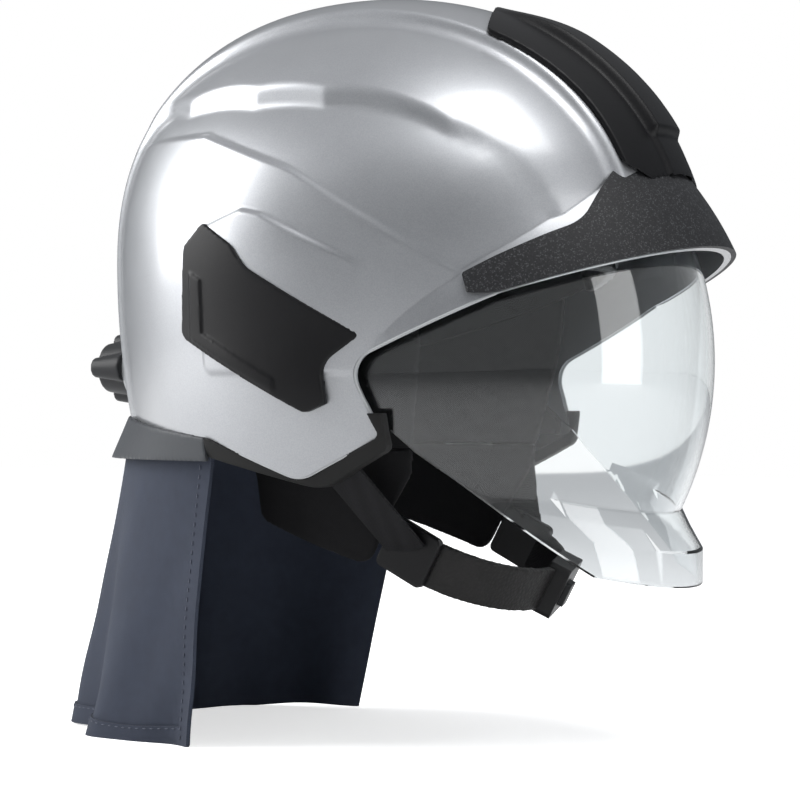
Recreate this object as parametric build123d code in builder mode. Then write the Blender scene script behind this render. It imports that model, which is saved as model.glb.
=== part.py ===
from build123d import *
from functools import cache
from math import acos, asin, cos, pi, radians, sin, sqrt, tan
import os

os.makedirs("parts", exist_ok=True)

# Jet style fire helmet, in millimetres. It faces -Y, +Z is up and the wearer's right side is -X.
# The origin is the centre of the wearer's head, on the mid plane, level with the visor hinge.

# Driving dimensions of the dome, which is lofted through horizontal sections
dome_y = 16.0
dome_z = 50.0
dome_half_width = 123.0
dome_front = 148.0
dome_rear = 134.5
dome_top = 119.5
dome_low = 235.0
shell_wall = 3.5
overrun = 30.0
fit_gap = 0.3
running_clearance = 0.05

# Raised forms of the shell: crest, upper layer above the scoops, hood round the side plate
crest_rise = 7.5
crest_front_growth = 4.0
crest_rear_growth = 3.0
layer_side_growth = 1.0
layer_rear_growth = 3.0
scoop_side_growth = 0.4
scoop_top = 104.7
scoop_front = 158.0
scoop_rear = 147.0
hood_rise = 2.5
hood_front = 120.0

# Brow: an ellipsoid that flares out of the dome, and the guard that covers it
brow_half_width = 123.0
brow_radius = 170.0
brow_centre_y = 0.0
brow_centre_z = -20.0
brow_cover = 2.5

# Covers on the shell
cap_cover = 3.0
plate_recess = 1.5
plate_proud = 1.2
plate_rib_height = 0.8

# Lower edge: rubber trim at the sides, grey guard at the nape
trim_proud = 0.8
trim_inner = 1.5
guard_top_z = -20.0
guard_low_z = -44.0
guard_top_half_width = 117.6
guard_top_rear = 130.5
guard_low_half_width = 112.5
guard_low_rear = 146.0
guard_wall = 3.5

# Visor: a spheroid round the hinge axis, with a lip along its lower edge
hinge_y = 14.0
hinge_z = 2.0
visor_radius = 157.5
visor_half_width = 109.0
visor_wall = 2.5
lip_start_y = -60.0
lip_start_z = -51.0
lip_slope = 14.2
lip_drop = 15.0
lip_skirt = 24.0
lip_reach = 15.4
lip_tuck = 3.8
pin_radius = 5.0
hub_radius = 20.0
hub_depth = 4.0
bracket_radius = 24.0
bracket_plate = 3.0
boss_radius = 9.0
screw_head_radius = 8.0
screw_head_depth = 2.5
screw_floor = 1.0
screw_socket_radius = 3.0

buffer_inner_x = 99.0
buffer_height = 8.0

# Liner of energy absorbing foam and the head cavity in it
liner_half_width = 103.0
liner_radius = 152.0
liner_seat_y = 45.0
liner_front_y = -130.0
liner_front_z = 60.0
liner_rear_y = 150.0
liner_rear_z = 20.0
liner_fall_share = (liner_front_z - liner_rear_z) / (liner_rear_y - liner_front_y)
cavity_y = 4.0
cavity_z = 42.0
cavity_half_width = 86.0
cavity_front = 108.0
cavity_rear = 112.0
cavity_top = 90.0
cavity_low = 150.0

# Textile lining that tapers from the liner down to the neck
lining_top_z = 50.0
lining_top_half_width = 96.5
lining_top_length = 122.0
lining_top_y = 0.8
lining_low_z = -92.0
lining_low_half_width = 67.0
lining_low_length = 75.0
lining_low_y = 15.0
lining_thickness = 4.0

# Head harness: head band, brow pad, crown straps and pad, hangers
band_half_width = 80.5
band_half_length = 100.5
band_height = 22.0
band_thickness = 1.5
band_centre_z = 33.0
band_tilt = 15.8
brow_pad_thickness = 7.0
brow_pad_height = 30.0
brow_pad_length = 34.0
crown_strap_width = 22.0
crown_strap_thickness = 1.2
crown_strap_low_z = 26.0
strap_shoulder_z = 46.0
crown_strap_rise = 2.5
brow_strap_end_z = 56.0
crown_strap_top_z = 122.0
crown_pad_radius = 36.0
crown_pad_thickness = 6.0
hanger_width = 26.0
hanger_low_z = 58.0
hanger_high_z = 70.0
hanger_reach = 16.0
hanger_gap = 0.3

# Size adjustment at the nape: cradle, racks, pinion, bush and knob on one axis along Y
knob_z = 0.6
cradle_y = 104.0
cradle_half_length = 62.0
cradle_wall = 3.0
cover_thickness = 3.0
gear_module = 1.5
gear_teeth = 10
pressure_angle = 30.0
addendum_share = 0.9
dedendum_share = 1.15
gear_backlash = 0.08
rack_inner_x = 18.0
rack_outer_x = 56.0
rack_back_z = 13.2
rack_depth = 8.6
guide_start_x = 31.0
shaft_radius = 6.0
bush_radius = 9.0
bush_flange_radius = 12.5
bush_flange_depth = 2.6
bush_end_y = 150.2
knob_foot_radius = 15.0
knob_base_depth = 7.5
knob_ring_radius = 17.5
knob_ring_depth = 4.0
knob_head_depth = 18.0
knob_core_radius = 15.0
knob_lobes = 3
knob_lobe_place = 14.0
knob_lobe_radius = 7.5
knob_taper = 8.0
nape_pad_length = 26.0
nape_pad_height = 30.0
nape_pad_thickness = 6.0

# Chin strap: anchors on the shell, side straps, junction sliders, chin pad and buckle
anchor_y = 2.0
anchor_z = -33.0
anchor_length = 22.0
anchor_height = 12.0
anchor_thickness = 3.0
strap_width = 20.0
strap_thickness = 1.6
strap_start_x = 107.8
junction_x = 62.0
junction_y = -23.5
junction_z = -85.5
slider_length = 26.0
slider_width = 25.0
slider_depth = 4.5
slider_corner = 3.0
chin_slope = 27.7
chin_reach = 42.0
chin_pad_thickness = 4.0
chin_pad_width = 22.0
chin_strap_thickness = 2.0
buckle_centre_x = 22.0
buckle_length = 34.0
buckle_width = 26.0
buckle_depth = 11.0
buckle_back = 4.0
buckle_corner = 3.0
tongue_length = 12.0
tongue_reach = 4.0
tongue_width = 16.0
tongue_thickness = 3.0
button_width = 12.0
button_corner = 2.0
button_clearance = 0.3
button_offset = 6.0
button_proud = 2.8
button_depth = 5.0
button_travel = 2.5
button_pocket = button_depth - button_proud + button_travel + button_clearance

# Neck curtain: cloth that hangs from a rail inside the nape guard
curtain_top_z = -34.0
curtain_low_z = -178.0
curtain_thickness = 2.0
curtain_arcs = 9
curtain_fold = 5.0
rail_thickness = 3.0
rail_height = 8.0
curtain_front_y = 58.7
curtain_low_half_width = 93.0
curtain_low_length = 150.0
curtain_low_y = 35.0
curtain_low_front_y = 83.0
curtain_shares = (0, 0.5, 1)

# Shares of the egg's height where its sections lie, as angles in degrees
section_angles = (-35, -22, -10, 0, 10, 22, 36, 50, 63, 75, 84, 88.5)
round_powers = (2.0, 2.0, 2.0)
dome_powers = (2.1, 2.0, 2.3)


@cache
def egg(half_width, front, rear, top, low, powers=dome_powers, centre=(dome_y, dome_z)):
    """Egg lofted through sections; the powers make its side, front and rear profiles fuller."""
    with BuildPart() as body:
        for angle in section_angles:
            rise = sin(radians(angle))
            height, fullness = (top, powers) if rise > 0 else (low, round_powers)
            side, nose, back = ((1 - abs(rise) ** power) ** (1 / power) for power in fullness)
            with BuildSketch(Plane.XY.offset(centre[1] + rise * height)):
                with BuildLine():
                    for start, length in ((0, rear * back), (180, front * nose)):
                        for quarter in (start, start + 90):
                            EllipticalCenterArc(
                                (0, centre[0]),
                                half_width * side,
                                length,
                                start_angle=quarter,
                                arc_size=90,
                            )
                make_face()
        loft()
    return body.part


def dome(inset=0.0):
    """The dome's egg, its surface set in by the given depth."""
    return egg(
        dome_half_width - inset,
        dome_front - inset,
        dome_rear - inset,
        dome_top - inset,
        dome_low - inset,
    )


@cache
def spheroid(half_width, radius, centre_y, centre_z):
    """Ellipsoid that is round in the side view: a half ellipse turned about the X axis."""
    with BuildPart() as body:
        with BuildSketch(Plane.XY):
            with BuildLine():
                rim = EllipticalCenterArc((0, 0), half_width, radius, start_angle=0, arc_size=180)
                Line(rim @ 1, rim @ 0)
            make_face()
        revolve(axis=Axis.X)
    return Pos(0, centre_y, centre_z) * body.part


def side_point(shares):
    """Side view point from its shares of the dome's front length and top height."""
    return (dome_y + shares[0] * dome_front, dome_z + shares[1] * dome_top)


def side_region(point_shares, radius_shares, start=-2 * dome_half_width, reach=4 * dome_half_width):
    """Prism along X over a side view outline with rounded corners."""
    points = [side_point(shares) for shares in point_shares]
    radii = [share * dome_front for share in radius_shares]
    with BuildPart() as region:
        with BuildSketch(Plane.YZ.offset(start)):
            with BuildLine():
                FilletPolyline(*points, radius=radii, close=True)
            make_face()
        extrude(amount=reach)
    return region.part


def plan_region(point_shares, radius_share, inset=0.0):
    """Prism along Z over a plan view outline, mirrored about the mid plane and set in."""
    right = [(dome_half_width * x, dome_y + dome_front * y) for x, y in point_shares]
    left = [(-x, y) for x, y in reversed(right)]
    with BuildPart() as region:
        with BuildSketch(Plane.XY.offset(dome_z)):
            with BuildLine():
                FilletPolyline(*right, *left, radius=radius_share * dome_half_width, close=True)
            make_face()
            if inset:
                offset(amount=-inset, mode=Mode.REPLACE)
        extrude(amount=2 * dome_top)
    return region.part


def write(piece, name):
    """Label a finished piece and write its file."""
    piece.part.label = name
    export_step(piece.part, f"parts/{name}.step")


# Side view above the shell's lower edge, from the brow past the temple corner to the nape
above_edge_shares = (
    (-1.29, 0.095),
    (-0.669, -0.163),
    (-0.24, -0.415),
    (-0.328, -0.686),
    (-0.06, -0.853),
    (0.262, -0.696),
    (1.284, -0.538),
    (1.284, 1.6),
    (-1.29, 1.6),
)
above_edge_radius_shares = (0, 0.3, 0.08, 0.02, 0.1, 0.15, 0, 0, 0)
above_edge = side_region(above_edge_shares, above_edge_radius_shares)

# Outer shell: crest, upper layer, scooped layer, side, hood and flare joined, then hollowed
crest_plan_shares = ((0.33, -1.2), (0.39, -0.45), (0.43, -0.1), (0.50, 0.4), (0.48, 1.2))
layer_plan_shares = (
    (0.20, -1.2),
    (0.57, -0.85),
    (0.745, -0.50),
    (0.80, -0.10),
    (0.78, 0.15),
    (0.67, 0.44),
    (0.45, 0.67),
    (0.20, 0.90),
)
below_crease_shares = (
    (0.30, 0.465),
    (-0.05, 0.31),
    (-0.58, -0.095),
    (-0.58, -1.9),
    (1.4, -1.9),
    (1.4, 0.465),
)
below_crease_radius_shares = (0.03, 0.4, 0.03, 0, 0, 0)
hood_shares = (
    (0.25, 0.095),
    (0.10, 0.16),
    (0.03, 0.142),
    (-0.30, -0.06),
    (-0.30, -0.45),
    (0.25, -0.45),
)
hood_radius_shares = (0.02, 0.03, 0.05, 0.05, 0.03, 0.03)


def crest(inset):
    """Crest along the mid plane, its top and its flanks set in by the given depth."""
    with BuildPart() as body:
        add(
            egg(
                dome_half_width - inset,
                dome_front + crest_front_growth - inset,
                dome_rear + crest_rear_growth - inset,
                dome_top + crest_rise - inset,
                dome_low - inset,
            )
        )
        add(plan_region(crest_plan_shares, 0.2, inset), mode=Mode.INTERSECT)
    return body.part


def layer(inset):
    """Upper layer above the scoops, its top and its flanks set in by the given depth."""
    with BuildPart() as body:
        add(
            egg(
                dome_half_width + layer_side_growth - inset,
                dome_front - inset,
                dome_rear + layer_rear_growth - inset,
                dome_top - inset,
                dome_low - inset,
            )
        )
        add(plan_region(layer_plan_shares, 0.12, inset), mode=Mode.INTERSECT)
    return body.part


with BuildPart() as side_form:
    add(dome())
    add(side_region(below_crease_shares, below_crease_radius_shares), mode=Mode.INTERSECT)

with BuildPart() as hood_form:
    add(egg(dome_half_width + hood_rise, hood_front, dome_rear, dome_top, dome_low))
    add(side_region(hood_shares, hood_radius_shares), mode=Mode.INTERSECT)


def scooped(inset):
    """The dome where a flatter egg cuts the scoops into it."""
    flatter = egg(
        dome_half_width + scoop_side_growth - inset,
        scoop_front - inset,
        scoop_rear - inset,
        scoop_top - inset,
        dome_low - inset,
    )
    with BuildPart() as body:
        add(dome(inset))
        add(flatter, mode=Mode.INTERSECT)
    return body.part


def flare(inset):
    """Front half of the brow's ellipsoid above its centre, set in by the given depth."""
    with BuildPart() as body:
        add(spheroid(brow_half_width - inset, brow_radius - inset, brow_centre_y, brow_centre_z))
        with BuildSketch(Plane.XY.offset(brow_centre_z)):
            with Locations((0, -brow_radius)):
                Rectangle(4 * brow_half_width, 2 * brow_radius)
        extrude(amount=brow_radius, mode=Mode.INTERSECT)
    return body.part


with BuildPart() as shell_outside:
    add(scooped(0))
    add(side_form.part)
    add(layer(0))
    add(crest(0))
    add(hood_form.part)
    add(flare(brow_cover))

with BuildPart() as shell_inside:
    add(scooped(shell_wall))
    add(layer(shell_wall))
    add(crest(shell_wall))
    add(flare(brow_cover + shell_wall))

# Side plates: matte covers that sit in a shallow recess of the hood
plate_shares = (
    (0.238, 0.118),
    (0.122, 0.027),
    (0.072, -0.055),
    (-0.292, -0.312),
    (-0.168, -0.42),
    (-0.183, -0.565),
    (-0.115, -0.600),
    (0.335, -0.312),
    (0.318, 0.03),
)
plate_radius_shares = (0.012, 0.08, 0.08, 0.012, 0.08, 0.012, 0.03, 0.04, 0.04)
rib_shares = (
    (0.245, -0.10),
    (0.245, -0.30),
    (-0.02, -0.475),
    (-0.02, -0.52),
    (0.29, -0.32),
    (0.29, -0.07),
)
rib_radius_shares = (0.005, 0.01, 0.005, 0.005, 0.02, 0.005)


def plate_form(growth):
    """Surface of a side plate, which follows the hood and the dome below it."""
    with BuildPart() as body:
        add(
            egg(
                dome_half_width + hood_rise + growth,
                hood_front + growth,
                dome_rear + growth,
                dome_top + growth,
                dome_low + growth,
            )
        )
        add(dome(-growth))
    return body.part


plate_prism = side_region(plate_shares, plate_radius_shares, 0, -2 * dome_half_width)
plate_floor = dome(plate_recess)
with BuildPart() as side_plate_right:
    add(plate_form(plate_proud))
    add(plate_prism, mode=Mode.INTERSECT)
    add(
        plate_form(plate_proud + plate_rib_height)
        & side_region(rib_shares, rib_radius_shares, 0, -2 * dome_half_width)
    )
    add(plate_floor, mode=Mode.SUBTRACT)
with BuildPart() as side_plate_left:
    mirror(side_plate_right.part, about=Plane.YZ)
plate_recesses = plate_prism + mirror(plate_prism, about=Plane.YZ) - plate_floor


def rear_plane(y):
    """Plane at the given Y that looks forwards, with X across and Z up."""
    return Plane.XZ.offset(-y)


def side_plane(x):
    """Plane on the wearer's right at the given distance from the mid plane, facing inwards."""
    return Plane(origin=(-x, 0, 0), x_dir=(0, 1, 0), z_dir=(1, 0, 0))


with BuildPart() as outer_shell:
    add(shell_outside.part)
    add(above_edge, mode=Mode.INTERSECT)
    add(shell_inside.part, mode=Mode.SUBTRACT)
    add(plate_recesses, mode=Mode.SUBTRACT)
    with BuildSketch(rear_plane(dome_y + 2 * dome_rear)):
        with Locations((0, knob_z)):
            Circle(bush_radius)
    extrude(amount=dome_y + 2 * dome_rear - cradle_y, mode=Mode.SUBTRACT)
write(outer_shell, "outer_shell")
write(side_plate_right, "side_plate_right")
write(side_plate_left, "side_plate_left")

# Brow guard: the part of the brow's ellipsoid that stands proud of the shell
brow_shares = (
    (-0.600, -0.160),
    (-0.579, -0.088),
    (-0.667, -0.023),
    (-0.790, 0.060),
    (-0.870, 0.110),
    (-0.905, 0.360),
    (-1.29, 0.360),
    (-1.29, 0.095),
    (-0.669, -0.163),
)
brow_radius_shares = (0.002, 0.01, 0.02, 0.05, 0.08, 0.01, 0, 0, 0.3)
with BuildPart() as brow_trim:
    add(flare(0))
    add(side_region(brow_shares, brow_radius_shares), mode=Mode.INTERSECT)
    add(shell_outside.part, mode=Mode.SUBTRACT)
write(brow_trim, "brow_trim")

# Front cap: cover over the front of the crest, its rear edge pointed at the mid plane
cap_plan_shares = ((0.0, -0.378), (0.39, -0.486), (0.345, -0.80), (0.33, -1.3))
cap_side_shares = (
    (-0.2, 1.3),
    (-0.2, 0.75),
    (-0.905, 0.36),
    (-0.99, 0.272),
    (-1.3, 0.22),
    (-1.3, 1.3),
)
with BuildPart() as front_cap:
    add(
        egg(
            dome_half_width,
            dome_front + crest_front_growth + cap_cover,
            dome_rear,
            dome_top + crest_rise + cap_cover,
            dome_low,
        )
    )
    add(plan_region(cap_plan_shares, 0.0), mode=Mode.INTERSECT)
    add(side_region(cap_side_shares, (0, 0, 0, 0, 0, 0)), mode=Mode.INTERSECT)
    add(shell_outside.part, mode=Mode.SUBTRACT)
    add(brow_trim.part, mode=Mode.SUBTRACT)
write(front_cap, "front_cap")

# Rubber edging along the lower edge beside the ear, and the nape guard behind it
trim_shares = (
    (-0.345, -0.60),
    (-0.345, -0.735),
    (-0.108, -0.891),
    (0.281, -0.770),
    (0.281, -0.60),
)
trim_radius_shares = (0, 0.03, 0.13, 0, 0)
below_trim_shares = ((0.281, -0.5), (0.281, -1.5), (1.4, -1.5), (1.4, -0.5))
with BuildPart() as edge_trim_right:
    add(dome(-trim_proud))
    add(dome(shell_wall + trim_inner), mode=Mode.SUBTRACT)
    add(
        side_region(trim_shares, trim_radius_shares, 0, -2 * dome_half_width),
        mode=Mode.INTERSECT,
    )
    add(above_edge, mode=Mode.SUBTRACT)
write(edge_trim_right, "edge_trim_right")
with BuildPart() as edge_trim_left:
    mirror(edge_trim_right.part, about=Plane.YZ)
write(edge_trim_left, "edge_trim_left")

with BuildPart() as nape_guard:
    for inset, mode in ((0, Mode.ADD), (guard_wall, Mode.SUBTRACT)):
        for z, half_width, rear in (
            (guard_top_z, guard_top_half_width, guard_top_rear),
            (guard_low_z, guard_low_half_width, guard_low_rear),
        ):
            with BuildSketch(Plane.XY.offset(z)):
                with Locations((0, dome_y)):
                    Ellipse(half_width - inset, rear - inset)
        loft(mode=mode)
    add(side_region(below_trim_shares, (0, 0, 0, 0)), mode=Mode.INTERSECT)
    add(above_edge, mode=Mode.SUBTRACT)
write(nape_guard, "nape_guard")

# Face shield: a band of the spheroid round the hinge, hub discs, and a lip along its lower edge
visor_low_shares = (
    (-0.02, -0.402),
    (-0.216, -0.568),
    (-0.284, -0.628),
    (-0.338, -0.666),
    (-0.405, -0.745),
)
visor_high_shares = ((-1.35, 0.085), (-0.60, 0.085), (-0.24, -0.02), (-0.013, -0.201))
lip_root = (lip_start_y, lip_start_z)
lip_tip = (lip_start_y - visor_radius, lip_start_z - visor_radius * tan(radians(lip_slope)))
lip_rise = radians(lip_slope)
lip_depth = (hinge_z - lip_start_z) * cos(lip_rise) - (hinge_y - lip_start_y) * sin(lip_rise)
lip_centre = (hinge_y - lip_start_y) * cos(lip_rise) + (hinge_z - lip_start_z) * sin(lip_rise)
lip_share = sqrt(1 - (lip_depth / visor_radius) ** 2)
lip_half_width = visor_half_width * lip_share
lip_length = visor_radius * lip_share
lip_plane = Plane(
    origin=(0, lip_start_y, lip_start_z),
    x_dir=(1, 0, 0),
    z_dir=(0, -sin(lip_rise), cos(lip_rise)),
)
lip_sections = (
    (0, lip_centre, lip_half_width, lip_length),
    (-lip_drop, lip_centre, lip_half_width - lip_tuck, lip_length + lip_reach),
    (
        -lip_drop - lip_skirt,
        lip_centre - lip_skirt * tan(lip_rise),
        lip_half_width - lip_tuck,
        lip_length + lip_reach,
    ),
)
lip_region_shares = (
    (-0.507, -0.70),
    (-0.507, -0.852),
    (-0.865, -1.213),
    (-1.09, -1.285),
    (-1.35, -1.285),
    (-1.35, -0.70),
)


def visor_form(inset):
    """Spheroid of the visor, its surface set in by the given depth."""
    return spheroid(visor_half_width - inset, visor_radius - inset, hinge_y, hinge_z)


with BuildPart() as lip:
    for inset, mode in ((0, Mode.ADD), (visor_wall, Mode.SUBTRACT)):
        for height, centre, half_width, length in lip_sections:
            with BuildSketch(lip_plane.offset(height)):
                with Locations((0, centre)):
                    Ellipse(half_width - inset, length - inset)
        loft(ruled=True, mode=mode)
    add(side_region(lip_region_shares, (0, 0, 0, 0, 0, 0)), mode=Mode.INTERSECT)

with BuildPart() as face_shield:
    with BuildSketch(Plane.YZ.offset(-dome_half_width)):
        with BuildLine():
            low_points = [side_point(shares) for shares in visor_low_shares]
            high_points = [side_point(shares) for shares in visor_high_shares]
            Polyline(*low_points, lip_root, lip_tip, *high_points, close=True)
        make_face()
        with Locations((hinge_y, hinge_z)):
            Circle(bracket_radius)
    extrude(amount=2 * dome_half_width)
    add(visor_form(0), mode=Mode.INTERSECT)
    add(visor_form(visor_wall), mode=Mode.SUBTRACT)
    add(lip.part)
    with BuildSketch(Plane.YZ.offset(-dome_half_width)):
        with Locations((hinge_y, hinge_z)):
            Circle(pin_radius + running_clearance)
    extrude(amount=2 * dome_half_width, mode=Mode.SUBTRACT)
write(face_shield, "face_shield")

# Visor pivots: bracket with pin on the shell, hub disc bonded inside the visor, screw
hub_inner_x = visor_half_width - visor_wall - hub_depth
pin_end_x = hub_inner_x - fit_gap
boss_end_x = visor_half_width + fit_gap
bracket_x = boss_end_x + bracket_plate
with BuildPart() as pivot_bracket_right:
    for x, radius in ((bracket_x, bracket_radius), (boss_end_x, boss_radius)):
        with BuildSketch(side_plane(dome_half_width)):
            with Locations((hinge_y, hinge_z)):
                Circle(radius)
        extrude(amount=dome_half_width - x)
    add(scooped(shell_wall), mode=Mode.INTERSECT)
    with BuildSketch(side_plane(boss_end_x)):
        with Locations((hinge_y, hinge_z)):
            Circle(pin_radius)
    extrude(amount=boss_end_x - pin_end_x)
write(pivot_bracket_right, "pivot_bracket_right")
with BuildPart() as pivot_bracket_left:
    mirror(pivot_bracket_right.part, about=Plane.YZ)
write(pivot_bracket_left, "pivot_bracket_left")

with BuildPart() as visor_hub_right:
    with BuildSketch(side_plane(visor_half_width)):
        with Locations((hinge_y, hinge_z)):
            Circle(hub_radius)
    extrude(amount=visor_half_width - hub_inner_x)
    add(visor_form(visor_wall), mode=Mode.INTERSECT)
    with BuildSketch(side_plane(visor_half_width)):
        with Locations((hinge_y, hinge_z)):
            Circle(pin_radius + running_clearance)
    extrude(amount=visor_half_width, mode=Mode.SUBTRACT)
write(visor_hub_right, "visor_hub_right")
with BuildPart() as visor_hub_left:
    mirror(visor_hub_right.part, about=Plane.YZ)
write(visor_hub_left, "visor_hub_left")

with BuildPart() as pivot_screw_right:
    with BuildSketch(side_plane(pin_end_x)):
        with Locations((hinge_y, hinge_z)):
            Circle(screw_head_radius)
            RegularPolygon(screw_socket_radius, 6, mode=Mode.SUBTRACT)
    extrude(amount=screw_head_depth)
    with BuildSketch(side_plane(pin_end_x)):
        with Locations((hinge_y, hinge_z)):
            Circle(screw_head_radius)
    extrude(amount=screw_floor)
write(pivot_screw_right, "pivot_screw_right")
with BuildPart() as pivot_screw_left:
    mirror(pivot_screw_right.part, about=Plane.YZ)
write(pivot_screw_left, "pivot_screw_left")

# Rubber buffers under the lower corners of the visor, which rests on them when it is down
with BuildPart() as visor_buffer_right:
    with BuildSketch(side_plane(buffer_inner_x)):
        with BuildLine():
            rear_point, front_point = (side_point(shares) for shares in visor_low_shares[1:3])
            Polyline(
                (rear_point[0], rear_point[1] - fit_gap),
                (front_point[0], front_point[1] - fit_gap),
                (front_point[0], front_point[1] - fit_gap - buffer_height),
                (rear_point[0], front_point[1] - fit_gap - buffer_height),
                close=True,
            )
        make_face()
    extrude(amount=buffer_inner_x - dome_half_width)
    add(scooped(shell_wall), mode=Mode.INTERSECT)
write(visor_buffer_right, "visor_buffer_right")
with BuildPart() as visor_buffer_left:
    mirror(visor_buffer_right.part, about=Plane.YZ)
write(visor_buffer_left, "visor_buffer_left")

# Impact liner: fills the shell behind the visor pocket, hollowed for the head
with BuildPart() as visor_pocket:
    add(spheroid(liner_half_width, liner_radius, hinge_y, hinge_z))
    with BuildSketch(Plane.XZ.offset(-liner_seat_y)):
        Rectangle(4 * dome_half_width, 4 * dome_low)
    extrude(amount=-2 * dome_rear)
with BuildPart() as above_liner_bottom:
    with BuildSketch(Plane.YZ.offset(-2 * dome_half_width)):
        with BuildLine():
            Polyline(
                (liner_front_y - overrun, liner_front_z + overrun * liner_fall_share),
                (liner_rear_y + overrun, liner_rear_z - overrun * liner_fall_share),
                (liner_rear_y + overrun, 2 * dome_top),
                (liner_front_y - overrun, 2 * dome_top),
                close=True,
            )
        make_face()
    extrude(amount=4 * dome_half_width)
with BuildPart() as cavity:
    add(
        egg(
            cavity_half_width,
            cavity_front,
            cavity_rear,
            cavity_top,
            cavity_low,
            centre=(cavity_y, cavity_z),
        )
    )
with BuildPart() as impact_liner:
    add(scooped(shell_wall + fit_gap))
    add(visor_pocket.part, mode=Mode.INTERSECT)
    add(above_liner_bottom.part, mode=Mode.INTERSECT)
    add(cavity.part, mode=Mode.SUBTRACT)
write(impact_liner, "impact_liner")

# Textile lining round the ears, with a neck band below its seam
lining_sections = (
    (lining_top_z, lining_top_half_width, lining_top_length, lining_top_y),
    (lining_low_z, lining_low_half_width, lining_low_length, lining_low_y),
)
lining_shares = ((-0.36, 0.3), (-0.36, -0.35), (-0.30, -0.736), (0.275, -0.736), (0.275, 0.3))
neck_shares = (
    (-0.30, -0.739),
    (-0.29, -0.83),
    (-0.212, -0.985),
    (-0.13, -1.19),
    (0.27, -1.02),
    (0.275, -0.739),
)


def lining_piece(point_shares, radius_shares):
    """Stretch of the tapered lining on the wearer's right, inside a side view outline."""
    with BuildPart() as body:
        for inset, mode in ((0, Mode.ADD), (lining_thickness, Mode.SUBTRACT)):
            for z, half_width, length, y in lining_sections:
                with BuildSketch(Plane.XY.offset(z)):
                    with Locations((0, y)):
                        Ellipse(half_width - inset, length - inset)
            loft(mode=mode)
        region = side_region(point_shares, radius_shares, 0, -2 * dome_half_width)
        add(region, mode=Mode.INTERSECT)
        add(above_liner_bottom.part, mode=Mode.SUBTRACT)
    return body.part


with BuildPart() as temple_lining_right:
    add(lining_piece(lining_shares, (0, 0.05, 0, 0, 0)))
write(temple_lining_right, "temple_lining_right")
with BuildPart() as temple_lining_left:
    mirror(temple_lining_right.part, about=Plane.YZ)
write(temple_lining_left, "temple_lining_left")
with BuildPart() as neck_band_right:
    add(lining_piece(neck_shares, (0, 0.05, 0.05, 0.05, 0.05, 0)))
write(neck_band_right, "neck_band_right")
with BuildPart() as neck_band_left:
    mirror(neck_band_right.part, about=Plane.YZ)
write(neck_band_left, "neck_band_left")

# Pitch circle, channels and walls of the size adjustment
pitch_radius = gear_module * gear_teeth / 2
tooth_pitch = pi * gear_module
addendum = addendum_share * gear_module
dedendum = dedendum_share * gear_module
slope_share = tan(radians(pressure_angle))
channel_half_height = rack_back_z + running_clearance
guide_half_height = pitch_radius - addendum - running_clearance
cradle_half_height = channel_half_height + cradle_wall
channel_y = cradle_y + cradle_wall
cover_y = channel_y + rack_depth + 2 * running_clearance

# Head band: slanted ring, with pads inside it at the brow and at the nape
band_plane = Plane(
    origin=(0, cavity_y, band_centre_z),
    x_dir=(1, 0, 0),
    z_dir=(0, sin(radians(band_tilt)), cos(radians(band_tilt))),
)
band_inner_half_width = band_half_width - band_thickness
band_inner_half_length = band_half_length - band_thickness
with BuildPart() as headband:
    with BuildSketch(band_plane.offset(-band_height / 2)):
        Ellipse(band_half_width, band_half_length)
        Ellipse(band_inner_half_width, band_inner_half_length, mode=Mode.SUBTRACT)
    extrude(amount=band_height)
write(headband, "headband")

for name, end, thickness, height, length in (
    ("brow_pad", -1, brow_pad_thickness, brow_pad_height, brow_pad_length),
    ("nape_pad", 1, nape_pad_thickness, nape_pad_height, nape_pad_length),
):
    with BuildPart() as pad:
        with BuildSketch(band_plane.offset(-height / 2)):
            Ellipse(band_inner_half_width, band_inner_half_length)
            Ellipse(
                band_inner_half_width - thickness,
                band_inner_half_length - thickness,
                mode=Mode.SUBTRACT,
            )
            with Locations((0, end * band_inner_half_length)):
                Rectangle(4 * band_half_width, 2 * length, mode=Mode.INTERSECT)
        extrude(amount=height)
    write(pad, name)

# Crown straps: two arches that cross at the top, with a domed pad below the crossing
def crown_arch(plane, half_span, top, low):
    """Arched strap in a vertical plane through the crown, from its low ends over the top."""
    with BuildPart() as body:
        with BuildSketch(plane):
            with Locations((0, strap_shoulder_z)):
                Ellipse(half_span + crown_strap_thickness, top - strap_shoulder_z)
            with Locations((0, (low + strap_shoulder_z) / 2)):
                Rectangle(2 * (half_span + crown_strap_thickness), strap_shoulder_z - low)
                Rectangle(2 * half_span, strap_shoulder_z - low, mode=Mode.SUBTRACT)
            with Locations((0, strap_shoulder_z)):
                Ellipse(
                    half_span, top - crown_strap_thickness - strap_shoulder_z, mode=Mode.SUBTRACT
                )
            with Locations((0, low)):
                Rectangle(
                    4 * half_span,
                    2 * (top - strap_shoulder_z),
                    align=(Align.CENTER, Align.MAX),
                    mode=Mode.SUBTRACT,
                )
        extrude(amount=crown_strap_width / 2, both=True)
    return body.part


side_span = band_half_width + fit_gap
long_span = band_half_length
with BuildPart() as crown_strap_across:
    add(crown_arch(Plane.XZ.offset(-cavity_y), side_span, crown_strap_top_z, crown_strap_low_z))
write(crown_strap_across, "crown_strap_across")
with BuildPart() as crown_strap_along:
    add(
        crown_arch(
            Plane(origin=(0, cavity_y, 0), x_dir=(0, 1, 0), z_dir=(1, 0, 0)),
            long_span,
            crown_strap_top_z + crown_strap_rise,
            knob_z + cradle_half_height + fit_gap,
        )
    )
    with BuildSketch(Plane.YZ.offset(-crown_strap_width)):
        with Locations((cavity_y, brow_strap_end_z)):
            Rectangle(2 * long_span, 2 * long_span, align=(Align.MAX, Align.MAX))
    extrude(amount=2 * crown_strap_width, mode=Mode.SUBTRACT)
write(crown_strap_along, "crown_strap_along")


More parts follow.
